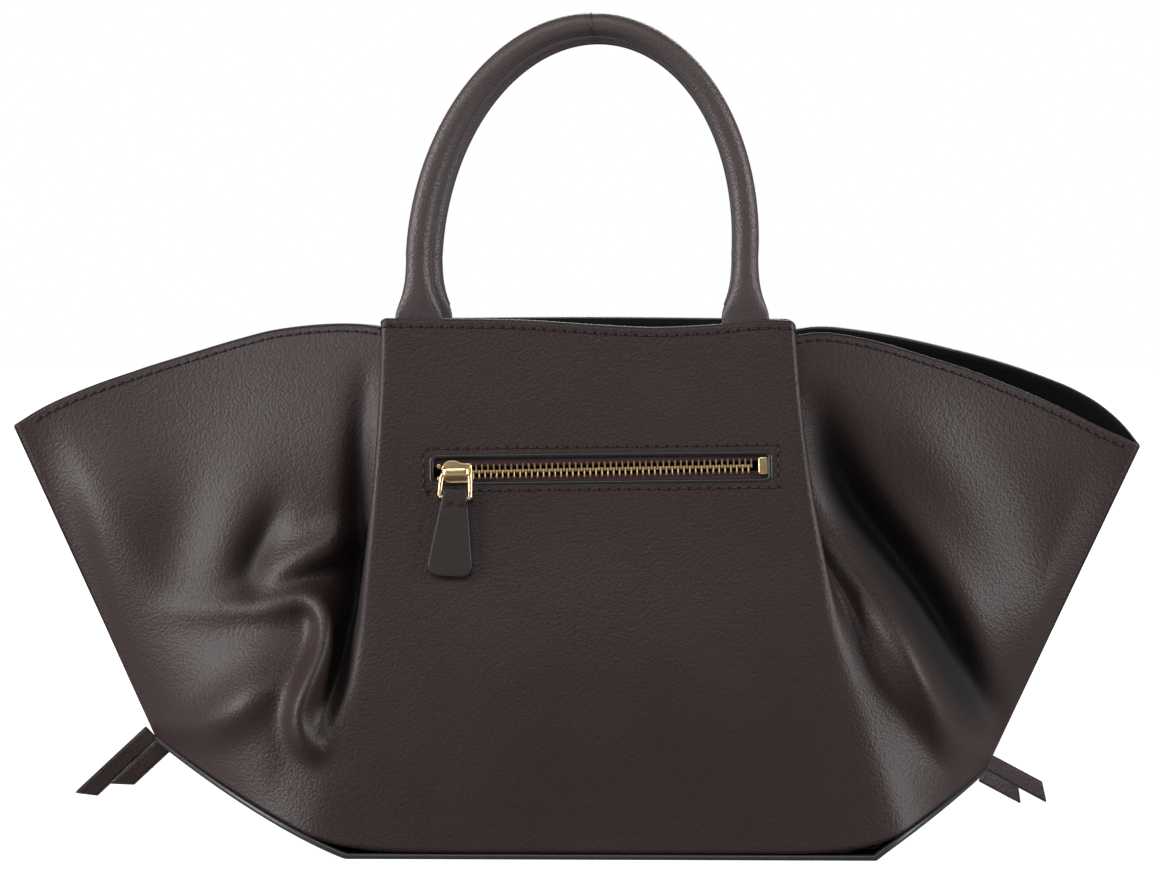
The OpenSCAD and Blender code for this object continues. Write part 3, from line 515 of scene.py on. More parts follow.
# The soft folds that the leather has fallen into: points of each line in x and z, the lift along
# it, and its width. On the left a pouch hangs over the corner, with a ridge that hooks round
# beside the pleat. On the right a deep valley runs from the pleat to the corner, under a ridge.
folds = [
    ([(-190, 100), (-162, 101), (-144, 102.5), (-131, 104), (-121, 108), (-113.5, 106), (-110, 99),
      (-110, 89), (-114, 78), (-118.5, 68), (-121, 60), (-120, 51), (-115, 45.5), (-109, 47)],
     [0, 2, 4, 5, 7, 10, 15, 18, 18, 16, 13, 10, 6, 2], 6),
    ([(-184, 44), (-163, 53), (-143, 65), (-127, 80)], [0, 6, 7, 0], 10),
    ([(-138, 172), (-149, 148), (-158, 122), (-168, 94)], [0, 3, 6, 2], 15),
    ([(-130, 150), (-136, 138), (-142, 126), (-145, 114), (-138, 107)], [0, -3.5, -5.5, -4, 0], 6.5),
    ([(-93, 140), (-107, 130.5), (-122, 122), (-134, 114), (-144, 107)], [0, 5, 7, 4, 0], 8),
    ([(-96, 124), (-108, 118), (-122, 115), (-134, 111)], [0, -3, -3, 0], 7),
    ([(-95, 208), (-97, 168), (-98, 128), (-100, 100), (-104, 78), (-110, 58)], [0, -6, -10, -12, -9, 0], 6),
    ([(-224, 176), (-207, 144), (-195, 112), (-182, 74)], [0, 10, 9, 0], 23),
    ([(94, 198), (98, 178), (106, 158), (116, 141), (129, 124), (140, 108), (149, 92), (157, 76), (165, 60),
      (174, 45)], [0, -7, -14, -19, -22, -23, -22, -18, -10, 0], 9.5),
    ([(94, 145), (98, 136), (104, 126), (114, 112), (124, 98), (132, 86), (140, 73), (148, 59), (157, 47),
      (166, 37)], [0, 3, 7, 10, 12, 12, 11, 8, 5, 0], 10),
    ([(120, 198), (140, 174), (158, 150), (172, 124), (181, 98), (186, 70)], [0, 3, 3.5, 3.5, 3, 0], 17),
    ([(222, 158), (210, 130), (199, 102), (188, 74)], [0, 4, 4, 0], 18),
]

rows = 120
row_t = 1 - (1 - np.linspace(0, 1, rows)) ** 1.1
wing_v = np.linspace(0, 1, 90) ** 1.1
pleat_q = np.linspace(0, 1, 46)
centre_c = np.linspace(0, 1, 72)


deep_valley = 12


def shaded(piece):
    """Marks how far each point lies down in a valley, as a share of a deep one, for painted shade."""
    mesh = piece.data
    at = np.empty(len(mesh.vertices) * 3)
    mesh.vertices.foreach_get("co", at)
    at = at.reshape(-1, 3) / MM
    down = -sum(fold(at[:, [0, 2]], *each) for each in folds if min(each[1]) < 0)
    mesh.attributes.new("painted_fold_shade", "FLOAT", "POINT").data.foreach_set("value", ease(down / deep_valley))


belly, belly_top = 3, 0.66
smoothing, passes = 0.25, 70


def side_sheet(far):
    """One side of the bag as a grid of points: left wing, pleat, centre, pleat, right wing. The
    centre bellies out a little below the zip. Low down, and where the pleats meet the wings, each
    point moves many times towards the middle of its two neighbours along the row, so that all runs
    smoothly from part to part."""
    top = far_top if far else near_top
    parts = []
    for end in (LEFT, RIGHT):
        rim = end.far_rim if far else end.rim
        v, t = np.meshgrid(wing_v[1:], row_t, indexing="ij")
        q, tq = np.meshgrid(pleat_q[1:], row_t, indexing="ij")
        wing = onto(wing_part(end, v, t, rim), end.sign)
        pleat = onto(pleat_part(end, q, tq, top, rim), end.sign)
        parts.append(np.concatenate([pleat, wing]))
    c, t = np.meshgrid(centre_c, row_t, indexing="ij")
    centre = centre_part(c, t, top)
    centre[..., 1] -= belly * np.sin(math.pi * np.clip(t / belly_top, 0, 1)) ** 2 * (4 * c * (1 - c)) ** 0.7
    grid = np.concatenate([parts[0][::-1], centre, parts[1]])
    k = np.arange(len(grid) - 2) - len(wing_v) + 3
    seam = np.exp(-(k / 9) ** 2) + np.exp(-(k[::-1] / 9) ** 2)
    near_seam = seam[:, None] * ease((0.8 - row_t) / 0.2)
    slack = smoothing * np.maximum(ease((0.42 - row_t) / 0.3), near_seam)[..., None]
    for _ in range(passes):
        grid[1:-1] += slack * (grid[2:] + grid[:-2] - 2 * grid[1:-1])
    return fallen(grid)


def fallen(grid):
    """A grid of the bag's side with its folds: each point of the wings moves out along Y by their
    lift, which fades out through the pleats, at the side edges and at the bottom seam."""
    one = np.concatenate([ease((1 - wing_v[:0:-1]) / 0.12), ease(pleat_q[:0:-1] / 0.5)])
    hold = np.concatenate([one, np.zeros(len(centre_c)), one[::-1]])[:, None] * ease(row_t / 0.1)
    lift = sum(fold(grid.reshape(-1, 3)[:, [0, 2]], *each) for each in folds)
    moved = grid.copy()
    moved[..., 1] -= lift.reshape(hold.shape) * hold
    return moved


# The window for the zip, cut through the centre of the back panel: its middle, half sizes,
# corner radius and tilt. A ring of faces joins its outline to a block left out of the grid.
window = dict(middle=np.array([5.2, 162.2]), half=np.array([71.2, 5.8]), corner=2.2, tilt=math.radians(0.7))


def tilted(p, middle, angle):
    """Points in x and z turned about a middle, right end up."""
    c, s = math.cos(angle), math.sin(angle)
    return middle + p @ np.array([[c, s], [-s, c]])


def rounded(square, half, corner):
    """Points on the edge of a square of half side 1, put on a rectangle with round corners: each is
    moved straight towards the inner rectangle until it is a corner's radius away from it."""
    p = square * half
    inner = np.clip(p, corner - half, half - corner)
    out = p - inner
    return inner + out / np.maximum(np.linalg.norm(out, axis=-1, keepdims=True), 1e-9) * corner


def on_back(x, z):
    """A point of the back's centre panel, found from its x and z."""
    t = (z - seam_lift) / (near_top(x) - seam_lift)
    left, right = flat_end(LEFT, t), flat_end(RIGHT, t)
    return centre_part((x + left) / (left + right), t, near_top)


beside = len(pleat_q) + len(wing_v) - 2
window_row, window_column = 75, 30


def with_window(grid):
    """The back panel's points and faces, with the window let into them: a block of cells a little
    larger than the window is left out, and rings of points lead from its edge to the window's, each
    a mix of the two by its share."""
    middle, half = window["middle"], window["half"] + np.array([7, 6.2])
    x = grid[beside:beside + len(centre_c), window_row, 0]
    i0 = beside + np.searchsorted(x, middle[0] - half[0]) - 1
    i1 = beside + np.searchsorted(x, middle[0] + half[0])
    z = grid[beside + window_column, :, 2]
    j0 = np.searchsorted(z, middle[1] - half[1]) - 1
    j1 = np.searchsorted(z, middle[1] + half[1])
    nv = grid.shape[1]
    cells = quads_of(*grid.shape[:2])
    i, j = cells[:, 0] // nv, cells[:, 0] % nv
    cells = cells[~((i >= i0) & (i < i1) & (j >= j0) & (j < j1))]
    low, right = np.arange(i0, i1), np.arange(j0, j1)
    loop = np.concatenate([low * nv + j0, i1 * nv + right,
                           low[::-1] * nv + nv + j1, i0 * nv + right[::-1] + 1])
    across, up = (mix(-1, 1, (k - k[0]) / len(k)) for k in (low, right))
    square = np.concatenate([np.stack([across, -1 + 0 * low], 1), np.stack([1 + 0 * right, up], 1),
                             np.stack([-across, 1 + 0 * low], 1), np.stack([-1 + 0 * right, -up], 1)])
    points = grid.reshape(-1, 3)
    outer = points[loop][:, [0, 2]]
    inner = tilted(rounded(square, window["half"], window["corner"]), middle, window["tilt"])
    shares = np.array([0, 0.06, 0.2, 0.45, 0.7])[:, None, None]
    ring = mix(inner, outer, shares)
    made = on_back(ring[..., 0], ring[..., 1])
    number = np.concatenate([len(points) + np.arange(made[..., 0].size).reshape(made.shape[:2]), loop[None]])
    after = np.roll(number, -1, axis=1)
    band = np.stack([number[:-1], number[1:], after[1:], after[:-1]], -1).reshape(-1, 4)
    return np.concatenate([points, made.reshape(-1, 3)]), np.concatenate([cells, band]), made[0]


back = side_sheet(False)
points, faces, window_edge = with_window(back)
back_normals = normals_of(back.reshape(-1, 3), quads_of(*back.shape[:2])).reshape(back.shape)
points, faces = thicken(points, faces, wall / 2, wall / 2)
back_side = piece_of("back_side", points, faces, leather, ["back_panel"], slot="body_leather")
shaded(back_side)
front = side_sheet(True) * np.array([1, -1, 1])
front_faces = quads_of(*front.shape[:2])[:, ::-1]
front_normals = normals_of(front.reshape(-1, 3), front_faces).reshape(front.shape)
points, faces = thicken(front.reshape(-1, 3), front_faces, wall / 2, wall / 2)
front_side = piece_of("front_side", points, faces, leather, ["front_panel"], slot="body_leather")
shaded(front_side)


# The cut edges. At the rim and at the window the leather's edge is sanded round and painted dark
# blue-grey. The coat is a little fuller than the leather is thick.
def unit(v):
    """Vectors divided by their lengths."""
    return v / np.maximum(np.linalg.norm(v, axis=-1, keepdims=True), 1e-12)


def turned_over(faces):
    """Faces with their corners in the opposite order, the -1 of a triangle kept last."""
    return np.where(faces[:, 3:] < 0, faces[:, [1, 0, 2, 3]], faces[:, ::-1])


def outward(points, faces):
    """The faces of a closed skin, all turned over if they look inwards: its volume is then negative."""
    p = points[faces[:, :3]]
    volume = np.einsum("ij,ij->", p[:, 0], np.cross(p[:, 1], p[:, 2]))
    four = faces[faces[:, 3] >= 0]
    p = points[four[:, [0, 2, 3]]]
    volume += np.einsum("ij,ij->", p[:, 0], np.cross(p[:, 1], p[:, 2]))
    return faces if volume > 0 else turned_over(faces)


def rings_of(count, sides, loop=False):
    """The faces between rings of points that are numbered ring after ring."""
    i, k = np.meshgrid(np.arange(count if loop else count - 1), np.arange(sides), indexing="ij")
    i2, k2 = (i + 1) % count, (k + 1) % sides
    return np.stack([i * sides + k, i * sides + k2, i2 * sides + k2, i2 * sides + k], -1).reshape(-1, 4)


def fan(first, sides, middle):
    """Triangles that close a ring of points, from its first one, round a point in its middle."""
    k = np.arange(sides)
    return np.stack([first + (k + 1) % sides, first + k, 0 * k + middle, 0 * k - 1], 1)


def capped(count, sides):
    """The faces of rings of points and of the two ends, whose middles are numbered after them."""
    top = fan((count - 1) * sides, sides, count * sides + 1)
    return np.concatenate([rings_of(count, sides), fan(0, sides, count * sides), turned_over(top)])


def tube(path, up, a, b, sides=12, loop=False):
    """A tube along a path: at each place an ellipse, a high along the part of `up` that is square to
    the path and b wide across it. Open ends are closed by a fan round the path's end."""
    n = len(path)
    ahead = unit(np.roll(path, -1, 0) - np.roll(path, 1, 0) if loop else np.gradient(path, axis=0))
    up = np.broadcast_to(np.asarray(up, float), path.shape)
    up = unit(up - (up * ahead).sum(-1, keepdims=True) * ahead)
    side = np.cross(ahead, up)
    turn = np.arange(sides) / sides * 2 * math.pi
    a, b = (np.broadcast_to(np.asarray(r, float), n)[:, None, None] for r in (a, b))
    points = (path[:, None] + a * np.cos(turn)[:, None] * up[:, None]
              + b * np.sin(turn)[:, None] * side[:, None]).reshape(-1, 3)
    faces = rings_of(n, sides, loop)[:, [0, 3, 2, 1]]
    if not loop:
        faces = np.concatenate([faces, turned_over(fan(0, sides, n * sides)),
                                fan((n - 1) * sides, sides, n * sides + 1)])
        points = np.concatenate([points, path[[0, -1]]])
    return points, outward(points, faces)


def join(*parts):
    """Several pairs of points and faces put together as one."""
    at, points, faces = 0, [], []
    for p, f in parts:
        points.append(p)
        faces.append(np.where(f < 0, -1, f + at))
        at += len(p)
    return np.concatenate(points), np.concatenate(faces)


def painted(name, colour):
    """Edge paint: a smooth thick coat with faint unevenness along it."""
    material, shader, place = new_finish(name)
    lumps = noise(place, 350)
    dress(shader, shades(lumps, colour, 0.8, 1.25), lumps * 0.2 + 0.28, lumps, 0.25, 0.0002)
    return material


edge_paint = painted("edge_paint", (0.028, 0.030, 0.036))
dark_paint = painted("dark_paint", (0.010, 0.011, 0.015))
facing_t, coat = 0.8, 0.3
rims = []
for grid, normals in ((back, back_normals), (front, front_normals)):
    middle = grid[:, -1] - normals[:, -1] * (facing_t / 2 + 0.1) + [0, 0, 0.1]
    rims.append(tube(middle, normals[:, -1], (wall + facing_t) / 2 + coat, 0.6, 10))
piece_of("rim_paint", *join(*rims), edge_paint, slot="edge_paint")
points, faces = tube(window_edge + [0, -0.15, 0], (0, -1, 0), 1.0, 1.0, 10, loop=True)
piece_of("window_paint", points, faces, dark_paint, ["zip_frame"], slot="edge_paint")
border = np.concatenate([under[:, 0], under[::-1, -1]]) + [0, 0, sole_t / 2]
points, faces = tube(border, (0, 0, 1), 1.2, 0.5, 8, loop=True)
piece_of("sole_paint", points, faces, edge_paint, slot="edge_paint")


# The side seams. The panels are laid face to face over a thin strip, sewn, and the edge of the
# three layers is painted in one.
side_edges = []
for end in (LEFT, RIGHT):
    low = np.array([end.sign * end.corner[0], 0, seam_lift + end.corner[1]])
    high = np.array([end.sign * end.tip[0], 0, end.tip[1]])
    side_edges.append(tube(mix(low, high, np.linspace(0, 1, 40)[:, None]), (0, 1, 0), 2.15, 0.6, 10))
points, faces = join(*side_edges)
piece_of("side_paint", points, faces, edge_paint, ["left_side_seam", "right_side_seam"], slot="edge_paint")


# The stitching. A heavy maroon thread is sewn in short stitches along the rims and round the
# window, and each stitch pulls down into needle holes, whose shade is painted as near-black dishes.
def plain(name, colour, roughness, scale, metallic=0.0, swing=0.25, relief=0.2, depth=0.0001):
    """A material whose tone, dullness and relief wander with one noise of a given scale."""
    material, shader, place = new_finish(name)
    shader.inputs["Metallic"].default_value = metallic
    grain = noise(place, scale, 4.0)
    dullness = (grain * 0.2 + (roughness - 0.1)).clear()
    dress(shader, shades(grain, colour, 1 - swing, 1 + swing), dullness, grain, relief, depth)
    return material


thread = plain("maroon_thread", (0.022, 0.009, 0.010), 0.6, 3000, relief=0.6)
# Painted shade: each needle hole is a near-black dish that stands for the shade inside it.
hole_shade = plain("needle_hole_shade", (0.002, 0.0015, 0.0015), 0.95, 1500)


def respaced(path, pitch, extra):
    """Points at even steps along a path, the direction there, and the vectors that go with it."""
    run = np.concatenate([[0], np.cumsum(np.linalg.norm(np.diff(path, axis=0), axis=1))])
    at = np.linspace(0, run[-1], max(2, int(round(run[-1] / pitch)) + 1))
    return tuple(np.stack([np.interp(at, run, v[:, k]) for k in range(3)], 1)
                 for v in (path, unit(np.gradient(path, axis=0)), np.broadcast_to(extra, path.shape)))


def repeated(faces, times, size):
    """The same faces for several parts of one size, numbered one after the other."""
    first = np.arange(times)[:, None, None] * size
    return np.where(faces < 0, -1, first + faces).reshape(-1, 4)


def stitches(path, normals, pitch, length, out, radius=0.32):
    """The thread and the holes of a row of stitches: each thread is a short tube whose ends dive
    under the surface, and between two threads lies a hole, a small dish just over it that carries
    the painted shade of the hole."""
    at, ahead, up = respaced(path, pitch, normals)
    ahead, up = unit(ahead), unit(up)
    side = np.cross(ahead, up)

    def put(x, y, z):
        """Points x along the seam from each stitch, y across it and z above the surface."""
        here, way, aside, over = (v[:, None, None] for v in (at, ahead, side, up))
        return (here + way * x[..., None] + aside * y[..., None] + over * (out + z)[..., None]).reshape(-1, 3)

    k = np.linspace(-1, 1, 7)[:, None]
    turn = np.arange(6) / 6 * 2 * math.pi
    bow = radius * np.sin(turn) + radius * (0.5 - 1.6 * k ** 4)
    thread_points = put(k * length / 2 + 0 * turn, radius * np.cos(turn) + 0 * k, bow)
    thread_faces = repeated(rings_of(7, 6)[:, [0, 3, 2, 1]], len(at), 7 * 6)
    turn = np.arange(8) / 8 * 2 * math.pi
    gap = (pitch - length) / 2 + 0.12
    ring = np.stack([pitch / 2 + gap * np.cos(turn), 1.9 * radius * np.sin(turn), 0 * turn + 0.03], 1)
    dish = np.concatenate([ring, [[pitch / 2, 0, 0.06]]])[None]
    hole_points = put(dish[..., 0], dish[..., 1], dish[..., 2])
    return (thread_points, thread_faces), (hole_points, repeated(fan(0, 8, 8), len(at), 9))


def inset(grid, normals, depth):
    """The line that runs a given distance below a grid's top edge, and the sheet's normals there."""
    down, turned = grid[:, ::-1], normals[:, ::-1]
    steps = np.linalg.norm(np.diff(down, axis=1), axis=2)
    run = np.concatenate([np.zeros((len(grid), 1)), steps.cumsum(1)], 1)
    k = (run < depth).sum(1) - 1
    i = np.arange(len(grid))
    f = ((depth - run[i, k]) / (run[i, k + 1] - run[i, k]))[:, None]
    return mix(down[i, k], down[i, k + 1], f), turned[i, k]


lean = math.radians(7.706)
panel_out = np.array([0, -math.cos(lean), math.sin(lean)])
sewn = []
for grid, normals in ((back, back_normals), (front, front_normals)):
    sewn.append(stitches(*inset(grid[4:-4], normals[4:-4], 3.1), 4.3, 2.7, wall / 2, 0.4))
k = np.linspace(0, 1, 60)[:-1, None]
turns = np.array([(-1, -1), (1, -1), (1, 1), (-1, 1), (-1, -1)])
square = np.concatenate([mix(a, b, k) for a, b in zip(turns, turns[1:])] + [turns[:1]])
frame_line = tilted(rounded(square, np.array([74.4, 8.9]), 1.2), window["middle"], window["tilt"])
sewn.append(stitches(on_back(frame_line[:, 0], frame_line[:, 1]), panel_out, 4.2, 2.7, wall / 2, 0.36))
piece_of("body_thread", *join(*[one[0] for one in sewn]), thread)
# The needle holes of the body carry painted shade.
piece_of("body_hole_shade", *join(*[one[1] for one in sewn]), hole_shade)


# The linings. Inside the rim runs a band of smooth leather, and below it the sides and the floor
# are lined with dark twill. Behind the zip the lining stands back to leave room for the pocket.
def woven(name, colour, warp, weft, swing=0.35, roughness=0.8, relief=0.5, uv=False):
    """Cloth: two waves crossing at right angles, the threads of the weave, under a slow noise."""
    material, shader, place = new_finish(name, "UV" if uv else "Object")
    across = place.node("ShaderNodeSeparateXYZ", {}, [place])
    high = Wire(across.tree, across.socket.node.outputs["Y" if uv else "Z"])
    one, other = across * warp + high * weft, across * warp - high * weft
    cloth = one.math("SINE", one) * other.math("SINE", other) * 0.5 + 0.5
    shade = (cloth * 0.6 + noise(place, 6 if uv else 40) * 0.4).clear()
    dullness = (1.0 - shade * (1 - roughness)).clear()
    dress(shader, shades(shade, colour, 1 - swing, 1 + swing), dullness, cloth, relief, 0.0002)
    return material


twill = woven("lining_twill", (0.009, 0.007, 0.007), 5200, 5200)
facing_leather = pebbled("facing_leather", (0.005, 0.004, 0.004), 0.7, 0.3, 0.8, gloss=0.12)
facing_share = 0.8795
leg_x = (-72, 66)


def inner_sheet(grid, normals, low, high, pocket, front):
    """A sheet inside one side of the bag, between two shares of its height. It stands off the
    leather by 0.6 mm, more where the handle tongues and the zip pocket lie between."""
    t = row_t
    keep = np.concatenate([np.searchsorted(t, [low]), np.arange(0, len(t), 3), np.searchsorted(t, [high])])
    keep = np.unique(keep)
    keep = keep[(t[keep] >= low - 0.004) & (t[keep] <= high + 0.004)]
    rows_g = np.concatenate([np.arange(0, len(grid) - 1, 2), [len(grid) - 1]])
    sub, n = grid[rows_g][:, keep], normals[rows_g][:, keep]
    flat = ((rows_g >= beside) & (rows_g < len(grid) - beside))[:, None]
    centre = flat * ease((84 - np.abs(sub[..., 0])) / 10)
    beside_leg = sum(ease((15 - np.abs(sub[..., 0] - x)) / 5) for x in leg_x)
    tongues = flat * beside_leg * ease((t[keep] - 0.86) / 0.04)
    room = 5.4 * centre * (1 - ease((t[keep] - 0.8) / 0.07)) if pocket else 0
    off = wall / 2 + 0.6 + 1.5 * tongues + room
    points, faces = sub - n * off[..., None], quads_of(*sub.shape[:2])
    points, faces = thicken(points.reshape(-1, 3), faces[:, ::-1] if front else faces, 0, facing_t)
    points[:, 1] = np.maximum(points[:, 1], 0.12) if front else np.minimum(points[:, 1], -0.12)
    return points, faces


for name, grid, normals in (("back", back, back_normals), ("front", front, front_normals)):
    front_one = grid is front
    points, faces = inner_sheet(grid, normals, 0.03, facing_share - 0.004, not front_one, front_one)
    piece_of(name + "_lining_cloth", points, faces, twill, [name + "_lining"], slot="lining_cloth")
    points, faces = inner_sheet(grid, normals, facing_share, 0.9995, False, front_one)
    piece_of(name + "_facing_band", points, faces, facing_leather, [name + "_facing"], slot="facing_leather")
floor_sheet = sole_grid(shares[::2], 4.4, 3.2, 0.94, 30)
points, faces = thicken(floor_sheet.reshape(-1, 3), quads_of(*floor_sheet.shape[:2]), 0.8, 0)
piece_of("base_lining_cloth", points, faces, twill, ["base_lining"], slot="lining_cloth")


# The board. A flat stiff board of pressed fibre, with round corners, keeps the bottom level. It
# lies on the sole, under the floor lining.
def slab(outline, low, high, bevel, steps=2):
    """A plate from an outline in x and z, between two depths in y, its edges rounded by the bevel."""
    outline = np.asarray(outline, float)
    ahead = unit(np.roll(outline, -1, 0) - outline)
    out = np.stack([ahead[:, 1], -ahead[:, 0]], 1)
    corner = unit(out + np.roll(out, 1, 0))
    corner /= np.maximum((corner * out).sum(1, keepdims=True), 0.5)
    a = np.linspace(0, math.pi / 2, steps + 1)
    ins = np.concatenate([[bevel * 1.5 + 0.06], bevel * (1 - np.sin(a))])
    deep = np.concatenate([[0], bevel * (1 - np.cos(a))])
    ins, deep = np.concatenate([ins, ins[::-1]]), np.concatenate([low + deep, high - deep[::-1]])
    flat = outline[None] - ins[:, None, None] * corner
    rings = np.stack([flat[..., 0], np.broadcast_to(deep[:, None], flat.shape[:2]), flat[..., 1]], -1)
    n, m = len(outline), len(ins)
    middle = outline.mean(0)
    ends = [[middle[0], low, middle[1]], [middle[0], high, middle[1]]]
    points = np.concatenate([rings.reshape(-1, 3), ends])
    return points, outward(points, capped(m, n))


def corners(points, radii, steps=6):
    """An outline with its corners rounded by quadratic curves that start a radius before each."""
    made = []
    points = np.array(points, float)
    for k, r in enumerate(np.broadcast_to(radii, len(points))):
        here, before, after = points[k], points[k - 1], points[(k + 1) % len(points)]
        a, b = here + unit(before - here) * r, here + unit(after - here) * r
        t = np.linspace(0, 1, steps if r > 0 else 1)[:, None]
        made.append((1 - t) ** 2 * a + 2 * t * (1 - t) * here + t * t * b)
    return np.concatenate(made)


board_mat = plain("fibre_board", (0.16, 0.12, 0.085), 0.85, 600, swing=0.4, relief=0.5)
points, faces = slab(corners([(-96, -66.5), (116, -66.5), (116, 66.5), (-96, 66.5)], 12), 2.35, 4.05, 0.3)
points = points[:, [0, 2, 1]]
piece_of("bottom_board", points, outward(points, faces), board_mat, ["base_board"], slot="board")


# The zip. Two woven tapes are sewn behind the window, and brass teeth are clamped onto their
# edges so that the two rows mesh. A square stop closes the right end, and two small ones the left.
def on_chain(p):
    """Points along the chain, into the bag and across the chain, put where the chain lies."""
    p = np.asarray(p, float)
    a = math.radians(1.3)
    x = p[..., 0] * math.cos(a) - p[..., 2] * math.sin(a)
    z = p[..., 0] * math.sin(a) + p[..., 2] * math.cos(a)
    y = p[..., 1] * math.cos(lean) + z * math.sin(lean)
    z = z * math.cos(lean) - p[..., 1] * math.sin(lean)
    return np.stack([x + 10, y - 49.64, z + 162], -1)


tape_y = 1.15
warp, weft = 2 * math.pi / 1.3, 2 * math.pi / 0.75
zip_cloth = woven("zip_tape", (0.042, 0.017, 0.020), warp, weft, 0.4, 0.75, 0.7, uv=True)
for name, up in (("upper", 1), ("lower", -1)):
    x, z = np.meshgrid(np.linspace(-78, 68, 90), np.linspace(2.1, 12.1, 14), indexing="ij")
    bead = 0.25 * np.exp(-((z - 2.6) / 0.5) ** 2)
    sheet = np.stack([x, tape_y - bead - 0.05, z * up], -1).reshape(-1, 3)
    faces = quads_of(90, 14)
    faces = faces if up > 0 else faces[:, ::-1]
    uv = np.tile(np.stack([x.ravel(), z.ravel()], 1), (2, 1))
    points, faces = thicken(sheet, faces, 0.25, 0.3)
    points, faces = on_chain(points), outward(points, faces)
    piece_of("tape_" + name, points, faces, zip_cloth, ["zip_tape_" + name], slot="zip_tape", uv=uv)

brass = plain("brass", (0.86, 0.66, 0.36), 0.34, 700, 1.0, 0.10, 0.15, 0.00004)
z = np.array([-0.8, -0.55, 0.2, 0.6, 2.2, 3.05, 3.2])[:, None]
half_x = np.array([0.3, 0.58, 0.6, 0.42, 0.42, 0.42, 0.3])[:, None]
half_y = np.array([0.6, 1.1, 1.15, 0.95, 1.15, 1.15, 0.9])[:, None]
eight = np.array([(1, -0.5), (1, 0.5), (0.5, 1), (-0.5, 1), (-1, 0.5), (-1, -0.5), (-0.5, -1), (0.5, -1)]).T
tooth = np.concatenate([np.stack([half_x * eight[0], half_y * eight[1], z + 0 * eight[0]], -1).reshape(-1, 3),
                        [[0, 0, -0.8], [0, 0, 3.2]]])
teeth, pitch = 48, 2.46
for name, up in (("upper", 1), ("lower", -1)):
    at = (np.arange(teeth) - (teeth - 1) / 2) * pitch + up * pitch / 4
    row = tooth[None] * [1, 1, up] + np.stack([at, at * 0 + tape_y, at * 0], 1)[:, None]
    faces = outward(row.reshape(-1, 3), repeated(capped(7, 8), teeth, len(tooth)))
    points = on_chain(row.reshape(-1, 3))
    piece_of("teeth_" + name, points, faces, brass, ["zip_teeth_" + name], slot="brass", smooth=False)
stop = corners([(61.4, -3.7), (65.6, -3.7), (65.6, 3.7), (61.4, 3.7)], 1.1, 3)
points, faces = slab(stop, -0.55, 0.75, 0.4)
piece_of("bottom_stop", on_chain(points), faces, brass, ["zip_bottom_stop"], slot="brass")
stops = [corners([(-73.7, z), (-72.1, z), (-72.1, z + 2), (-73.7, z + 2)], 0.5, 3) for z in (1.6, -3.6)]
points, faces = join(*[slab(stop, 0.0, 2.3, 0.3) for stop in stops])
piece_of("top_stops", on_chain(points), faces, brass, ["zip_top_stops"], slot="brass")


# The pocket behind the zip: two pieces of thin cloth sewn together down the sides and the bottom.
# The outer piece hangs from the window's lower edge, and the inner one from its upper edge.
def crumpled(x, z, seed):
    """Small soft waves of a hanging cloth: a few sines of different lengths and directions."""
    return 0.25 * np.sin(x / 9 + seed) * np.sin(z / 14) + 0.18 * np.sin((x + z) / 6 + 2 * seed)


pockets = []
for y, high, seed in ((4.65, -7.0, 1.0), (5.55, 12.0, 2.4)):
    x, z = np.meshgrid(np.linspace(-70, 70, 60), np.linspace(-105, high, 50), indexing="ij")
    hold = ease((70 - np.abs(x)) / 8) * ease((z + 105) / 8)
    sheet = np.stack([x - 5, y + 0.5 * crumpled(x, z, seed) * hold, z], -1)
    pockets.append(thicken(sheet.reshape(-1, 3), quads_of(60, 50), 0.2, 0.2))
points, faces = join(*pockets)
faces = outward(points, faces)
piece_of("pocket_cloth", on_chain(points), faces, twill, ["zip_pocket_bag"], slot="lining_cloth")


# The slider. A cast brass body rides over the teeth between two shaped plates that meet at its
# nose, and a bridge along its face holds the pull.
slider_x = -65.3
plate_line = corners([(-6.4, -1.5), (-5.0, -3.7), (-3.6, -4.7), (6.4, -4.7), (6.4, 3.3), (2.4, 3.4),
                      (-0.6, 4.8), (-4.4, 4.6), (-6.4, 1.8)],
                     [0.6, 0.6, 0.8, 0.9, 0.9, 1.0, 1.2, 1.2, 1.0], 4)
nose = corners([(-6.4, -1.1), (-4.1, -1.1), (-4.1, 1.1), (-6.4, 1.1)], 0.5, 3)
ridge = smooth_path([(-5.9, -1.5, -0.3), (-5.75, -3.4, -0.3), (-4.9, -4.7, -0.3), (-3.4, -5.05, -0.3),
                     (0, -5.1, -0.3), (3.0, -5.05, -0.3), (4.3, -4.7, -0.3), (5.0, -3.4, -0.3),
                     (5.2, -1.5, -0.3)], 34)
lip = smooth_path([(x, -1.95, z) for x, z in plate_line], 3 * len(plate_line))
points, faces = join(slab(plate_line, -1.95, -1.05, 0.28), slab(plate_line, 2.65, 3.5, 0.3),
                     slab(nose, -1.5, 3.0, 0.2),
                     tube(lip * [0.94, 1, 0.94], (0, -1, 0), 0.3, 0.35, 8, loop=True),
                     tube(ridge, (0, 0, 1), np.full(34, 1.7), 0.5, 16))
points = on_chain(points + [slider_x, 0, 0])
piece_of("slider_casting", points, faces, brass, ["slider_body"], "slider", "brass")


# The pull ring. A bent brass wire passes under the bridge, and its two ends turn in to hold the
# tab between them.
def on_ring(p):
    """Points of the ring, from the middle of its bar, put where it hangs: leaning a little left."""
    p = np.asarray(p, float)
    a = math.radians(5)
    return on_chain(np.stack([p[..., 0] * math.cos(a) + p[..., 2] * math.sin(a) + slider_x, p[..., 1] - 3.2,
                              p[..., 2] * math.cos(a) - p[..., 0] * math.sin(a)], -1))


